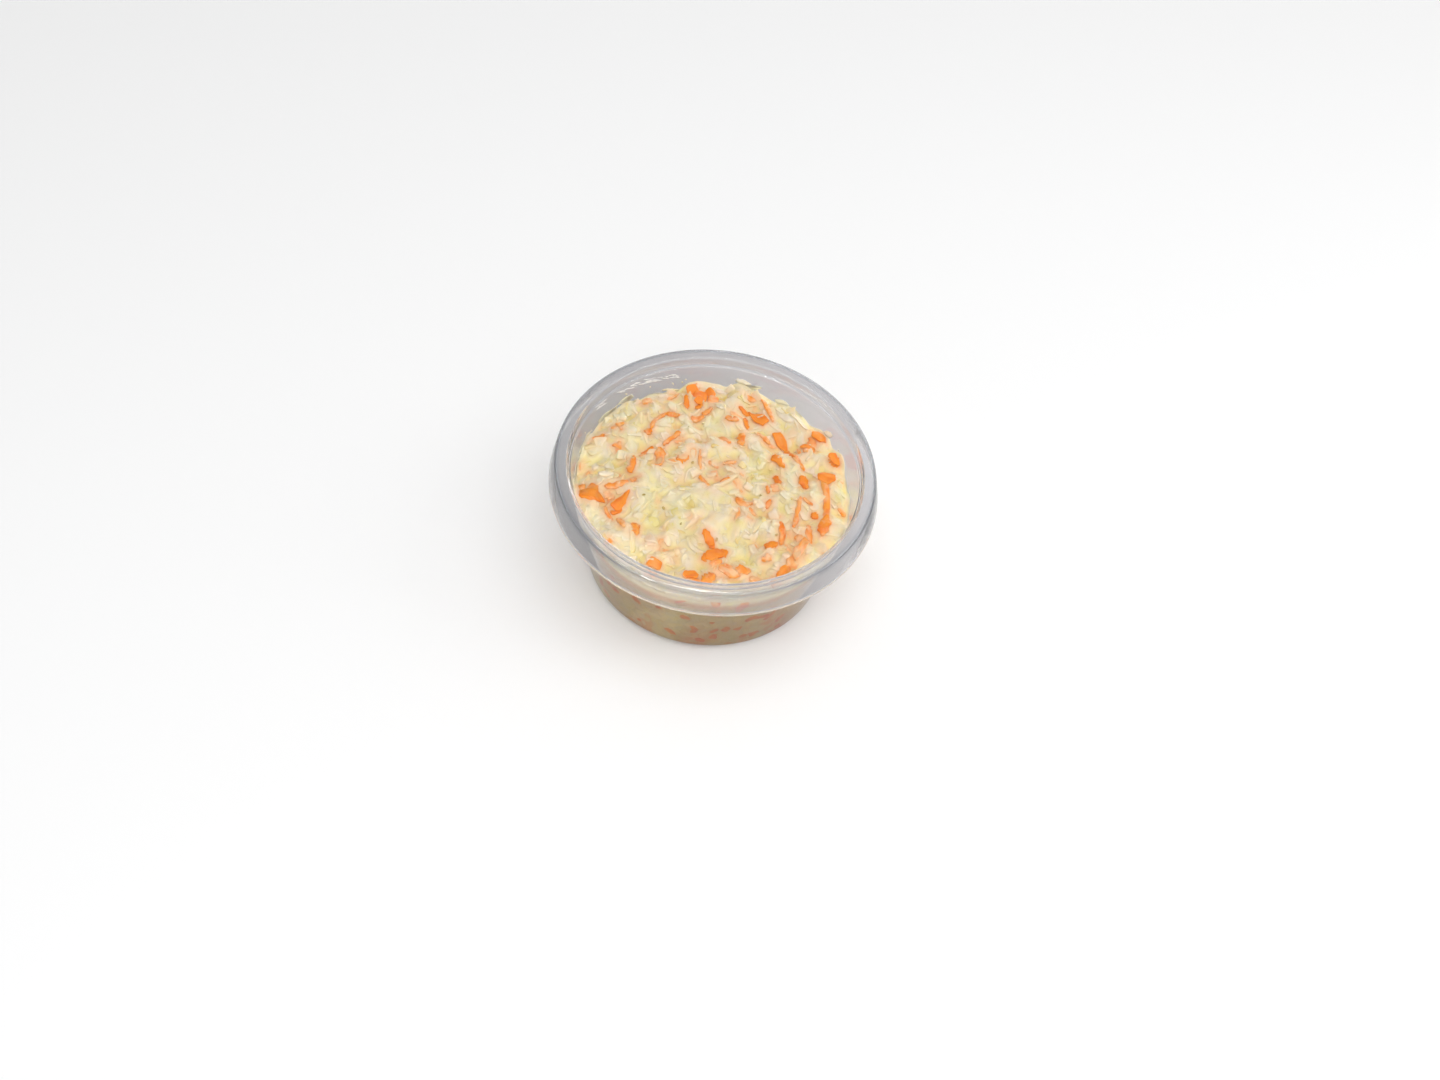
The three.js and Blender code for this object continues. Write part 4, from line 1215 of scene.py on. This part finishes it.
def dressing_material():
    m, nt = new_material("dressing")
    out = node(nt, "ShaderNodeOutputMaterial")
    p = node(nt, "ShaderNodeBsdfPrincipled")
    tc = node(nt, "ShaderNodeTexCoord")
    big = noise(nt, tc.outputs["Object"], 230.0, 4.0, 0.55)
    small = noise(nt, tc.outputs["Object"], 900.0, 4.0, 0.6)
    colour = ramp(nt, big, [(0.30, (0.79, 0.66, 0.40)), (0.52, CREAM), (0.75, (0.83, 0.735, 0.55))])
    colour = mix_rgb(nt, ramp(nt, small, [(0.55, grey(0.0)), (0.75, grey(0.35))]), colour, (0.79, 0.67, 0.42))
    at = node(nt, "ShaderNodeAttribute", _attribute_name="tone", _attribute_type="GEOMETRY")
    sep = node(nt, "ShaderNodeSeparateXYZ")
    nt.links.new(at.outputs["Vector"], sep.inputs[0])
    colour = mix_rgb(nt, maths(nt, "MULTIPLY", sep.outputs[0], 0.60), colour, (0.81, 0.67, 0.35))
    colour = mix_rgb(nt, maths(nt, "MULTIPLY", sep.outputs[1], 0.75), colour, (0.75, 0.65, 0.27))
    colour = with_mood(nt, tc, colour)
    colour = mix_rgb(nt, maths(nt, "MULTIPLY", sep.outputs[2], 0.75), colour, (0.90, 0.50, 0.24))
    nt.links.new(painted_wall_shade(nt, tc, colour), p.inputs["Base Color"])
    wet = noise(nt, tc.outputs["Object"], 1100.0, 2.0, 0.5)
    nt.links.new(ramp(nt, wet, [(0.3, grey(0.44)), (0.58, grey(0.38)), (0.68, grey(0.13))]), p.inputs["Roughness"])
    p.inputs["Subsurface Weight"].default_value = 0.70
    p.inputs["Subsurface Radius"].default_value = (1.0, 0.85, 0.65)
    p.inputs["Subsurface Scale"].default_value = 0.0014
    p.inputs["IOR"].default_value = 1.38
    p.inputs["Coat Weight"].default_value = 0.08
    p.inputs["Coat Roughness"].default_value = 0.20
    bump = node(nt, "ShaderNodeBump")
    bump.inputs["Strength"].default_value = 0.6
    bump.inputs["Distance"].default_value = 0.0004
    nt.links.new(maths(nt, "ADD", maths(nt, "MULTIPLY", big, 0.8), maths(nt, "MULTIPLY", small, 0.4)), bump.inputs["Height"])
    nt.links.new(bump.outputs[0], p.inputs["Normal"])
    nt.links.new(p.outputs[0], out.inputs["Surface"])
    return m


def simple(name, rgb, rough=0.4):
    m, nt = new_material(name)
    out = node(nt, "ShaderNodeOutputMaterial")
    p = node(nt, "ShaderNodeBsdfPrincipled")
    p.inputs["Base Color"].default_value = (*rgb, 1)
    p.inputs["Roughness"].default_value = rough
    nt.links.new(p.outputs[0], out.inputs["Surface"])
    return m


def glint_streak_material():
    """Painted reflection: nearly white streaks on the inner wall, in place of light glinting on the plastic."""
    m, nt = new_material("wall_glint_streaks")
    out = node(nt, "ShaderNodeOutputMaterial")
    p = node(nt, "ShaderNodeBsdfPrincipled")
    tc = node(nt, "ShaderNodeTexCoord")
    grain = noise(nt, tc.outputs["Object"], 1500.0, 3.0)
    nt.links.new(ramp(nt, grain, [(0.35, (0.78, 0.765, 0.74)), (0.70, (0.93, 0.92, 0.90))]), p.inputs["Base Color"])
    nt.links.new(ramp(nt, grain, [(0.3, grey(0.22)), (0.7, grey(0.38))]), p.inputs["Roughness"])
    nt.links.new(p.outputs[0], out.inputs["Surface"])
    return m


wall_glint_streaks.data.materials.append(glint_streak_material())
cup.data.materials.append(plastic_material())
core.data.materials.append(dressing_material())
LOOKS = {
    "white": food_material("cabbage_white", [(0.0, (0.86, 0.785, 0.60)), (0.5, (0.84, 0.75, 0.53)), (1.0, (0.82, 0.715, 0.45))], (0.79, 0.67, 0.37), (0.35, 1.6, 0.5), (0.44, 0.58), 0.5, (1.0, 0.85, 0.65)),
    "yellow": food_material("cabbage_yellow", [(0.0, (0.82, 0.71, 0.41)), (0.6, (0.80, 0.67, 0.33)), (1.0, (0.77, 0.60, 0.22))], (0.76, 0.61, 0.25), (0.35, 1.6, 0.5), (0.46, 0.60), 0.5, (1.0, 0.85, 0.6)),
    "rib": food_material("cabbage_rib", [(0.0, (0.87, 0.80, 0.62)), (1.0, (0.84, 0.745, 0.52))], (0.80, 0.70, 0.45), (0.3, 2.0, 0.5), (0.44, 0.58), 0.5, (1.0, 0.85, 0.65)),
    "green": food_material("cabbage_green", [(0.0, (0.79, 0.71, 0.37)), (0.6, (0.76, 0.67, 0.29)), (0.85, (0.72, 0.61, 0.21)), (1.0, (0.36, 0.26, 0.06))], (0.72, 0.61, 0.23), (0.35, 1.6, 0.5), (0.46, 0.60), 0.5, (0.95, 0.85, 0.55)),
    "carrot": food_material("carrot", [(0.0, (0.89, 0.40, 0.10)), (0.5, (0.89, 0.32, 0.032)), (1.0, (0.88, 0.26, 0.012))], (0.85, 0.23, 0.009), (0.5, 2.0, 0.6), (0.43, 0.66), 0.35, (1.0, 0.6, 0.35), cream=(0.89, 0.565, 0.32)),
}


def smoothstep(lo, hi, v):
    t = np.clip((v - lo) / (hi - lo), 0, 1)
    return t * t * (3 - 2 * t)


def mood(verts):
    """For each point: how close a carrot shred lies, whose juice tints what it touches, how deep in a hollow it is,
    which sets a painted gold shade, and how far it is under the dressing.
    """
    near = np.empty(len(verts))
    find = carrot_tree.find
    for i, v in enumerate(verts.tolist()):
        near[i] = find(v)[2]
    x, y, z = verts.T
    inner = np.clip((FILL_R - 0.3 - np.hypot(x, y)) / 0.8, 0, 1) * smoothstep(-4.5, -2.5, z - sample(MEAN_TOP, x, y))
    low = smoothstep(-0.15, 1.3, sample(MEAN_TOP, x, y) - z)
    # painted shade: gold hollows painted round the deeper yellow and greener leaf pieces
    for lx, ly, half, kind in LEAVES:
        low = np.maximum(low, (0.70 if kind == "yellow" else 0.5) * np.exp(-((x - lx) ** 2 + (y - ly) ** 2) / (0.75 * half) ** 2))
    low = low * inner
    under = (1 - smoothstep(-0.05, 0.75, z - sample(CREAM_TOP, x, y))) * inner
    return np.stack([np.exp(-((near / 1.8) ** 2)) * (0.3 + 0.7 * inner), low, under], 1)


def crease(verts, surface, width):
    """How deep in a crease between neighbouring pieces each point lies, which sets how much painted light brightens its
    colour.
    """
    x, y, z = verts.T
    inner = np.clip((FILL_R - 0.3 - np.hypot(x, y)) / 0.8, 0, 1) * smoothstep(-4.5, -2.5, z - sample(MEAN_TOP, x, y))
    return smoothstep(-0.05, width, sample(surface, x, y) - z) * inner


MEAN_TOP = blur(height, 2.6)
NEAR_TOP = blur(height, 1.1)
_carrot = np.concatenate(KINDS["carrot"].verts)
carrot_tree = kdtree.KDTree(len(_carrot))
for i, v in enumerate(_carrot.tolist()):
    carrot_tree.insert(v, i)
carrot_tree.balance()

for key, kind in KINDS.items():
    verts = np.concatenate(kind.verts)
    attrs = {"chip": np.concatenate(kind.chip), "local": np.concatenate(kind.local)}
    attrs["mood"] = mood(verts)
    attrs["crease"] = crease(verts, NEAR_TOP, 0.7)
    ob = mesh_object(kind.name, verts, (np.concatenate(kind.totals), np.concatenate(kind.loops)), attrs=attrs)
    ob.data.materials.append(LOOKS[key])
    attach(ob, "root")
    print("PIECES", kind.name, kind.pieces, "pieces", kind.tris, "triangles")
_dressing = np.concatenate([p[0] for p in parts])
_a = core.data.attributes.new("mood", "FLOAT_VECTOR", "POINT")
_a.data.foreach_set("vector", mood(_dressing).astype(np.float32).ravel())
_a = core.data.attributes.new("crease", "FLOAT", "POINT")
# painted light: the dressing's steep slopes are brightened as well as its creases
_steep_glow = smoothstep(0.35, 1.1, np.hypot(*np.gradient(CREAM_TOP, STEP)))
_crease_glow = np.maximum(crease(_dressing, blur(CREAM_TOP, 1.5), 0.5), 0.5 * sample(_steep_glow, _dressing[:, 0], _dressing[:, 1]) * crease(_dressing, CREAM_TOP + 1.5, 0.5))
_a.data.foreach_set("value", _crease_glow.astype(np.float32))
_a = core.data.attributes.new("tone", "FLOAT_VECTOR", "POINT")
_a.data.foreach_set("vector", np.stack([sample(blur(TONE[k], 0.5), _dressing[:, 0], _dressing[:, 1]) for k in ("yellow", "green", "carrot")], 1).astype(np.float32).ravel())
print("PIECES dressing", int((np.array([p.loop_total for p in core.data.polygons]) - 2).sum()), "triangles; cup", int((np.array([p.loop_total for p in cup.data.polygons]) - 2).sum()), "shift", round(SHIFT, 2))

# ----------------------------------------------------------------------------------------------
# Stage
# ----------------------------------------------------------------------------------------------
def floor_material():
    """A plain pale floor; where it is seen through the clear plastic it is painted darker, in a painted shade that is
    darkest to the left and front, so that the plastic stands out grey.
    """
    m, nt = new_material("floor")
    out = node(nt, "ShaderNodeOutputMaterial")
    p = node(nt, "ShaderNodeBsdfPrincipled")
    lp = node(nt, "ShaderNodeLightPath")
    seen = mix_rgb(nt, lp.outputs["Is Camera Ray"], (0.76, 0.76, 0.76), (0.96, 0.96, 0.96))
    tc = node(nt, "ShaderNodeTexCoord")
    sep = node(nt, "ShaderNodeSeparateXYZ")
    nt.links.new(stretched(nt, tc.outputs["Object"], (7.0, 7.0, 1.0)), sep.inputs[0])
    # painted shade under the plastic: darker to the left and front, lighter to the right and back
    across = maths(nt, "ADD", maths(nt, "ADD", sep.outputs[0], maths(nt, "MULTIPLY", sep.outputs[1], 0.35)), 0.5)
    shade_seen_through = ramp(nt, across, [(0.0, (0.345, 0.34, 0.345)), (0.5, (0.41, 0.405, 0.42)), (1.0, (0.57, 0.565, 0.585))])
    nt.links.new(mix_rgb(nt, lp.outputs["Is Transmission Ray"], seen, shade_seen_through), p.inputs["Base Color"])
    p.inputs["Roughness"].default_value = 0.6
    nt.links.new(p.outputs[0], out.inputs["Surface"])
    return m


floor = mesh_object("floor", [[-3000, -3000, 0], [3000, -3000, 0], [3000, 3000, 0], [-3000, 3000, 0]], [(0, 1, 2, 3)], smooth=False)
floor.location.z = -0.00005
floor.data.materials.append(floor_material())

world = bpy.data.worlds.new("studio")
bpy.context.scene.world = world
world.use_nodes = True
_wn = world.node_tree
_bg = _wn.nodes["Background"]
_bg.inputs["Color"].default_value = (1, 1, 1, 1)
_lp = _wn.nodes.new("ShaderNodeLightPath")
_st = _wn.nodes.new("ShaderNodeMapRange")
_st.inputs["To Min"].default_value = 0.66
_st.inputs["To Max"].default_value = 0.92
_wn.links.new(_lp.outputs["Is Camera Ray"], _st.inputs["Value"])
_wn.links.new(_st.outputs["Result"], _bg.inputs["Strength"])


def area_light(name, loc_mm, target_mm, size_mm, power, colour=(1, 1, 1), shape="RECTANGLE", size_y=None):
    d = bpy.data.lights.new(name, "AREA")
    d.shape = shape
    d.size = size_mm * MM
    if size_y:
        d.size_y = size_y * MM
    d.energy = power
    d.color = colour
    o = bpy.data.objects.new(name, d)
    bpy.context.scene.collection.objects.link(o)
    o.location = Vector(loc_mm) * MM
    o.rotation_mode = "QUATERNION"
    o.rotation_quaternion = (Vector(target_mm) * MM - o.location).to_track_quat("-Z", "Y")
    return o


area_light("key", (120, -330, 860), (0, 0, 30), 1150, 4.4, size_y=1150)
_fill = area_light("fill", (-300, -860, 17), (0, 0, 17), 900, 1.5, size_y=26)  # low, so that it lights the front of the wall and not the top
_fill.visible_glossy = _fill.visible_camera = False
_fill_back = area_light("fill_back", (300, 860, 17), (0, 0, 17), 900, 1.9, size_y=26)
_fill_back.visible_glossy = _fill_back.visible_camera = False
area_light("side", (820, 60, 420), (0, 0, 35), 420, 1.2, size_y=420)
area_light("glint_left", (-330, -420, 760), (0, 0, 35), 110, 2.0, size_y=110).visible_diffuse = False
for _i in range(8):  # a ring of narrow lights that only draws the plastic's edges and the wet spots
    _w = (_i + 0.5) * math.pi / 4
    _ring = area_light("ring_%d" % _i, (395 * math.cos(_w), 395 * math.sin(_w), 850), (0, 0, 35), 330, 0.20 if _i in (5, 6) else 0.28, size_y=34)
    _ring.visible_diffuse = False
    _out = Vector((math.cos(_w), math.sin(_w), 0.0))
    _z = (_ring.location - Vector((0, 0, 0.035))).normalized()
    _x = Vector((-_out.y, _out.x, 0.0))
    _ring.rotation_quaternion = Matrix((_x, _z.cross(_x), _z)).transposed().to_quaternion()
bpy.context.scene.view_settings.view_transform = "Standard"
bpy.context.scene.view_settings.look = "None"
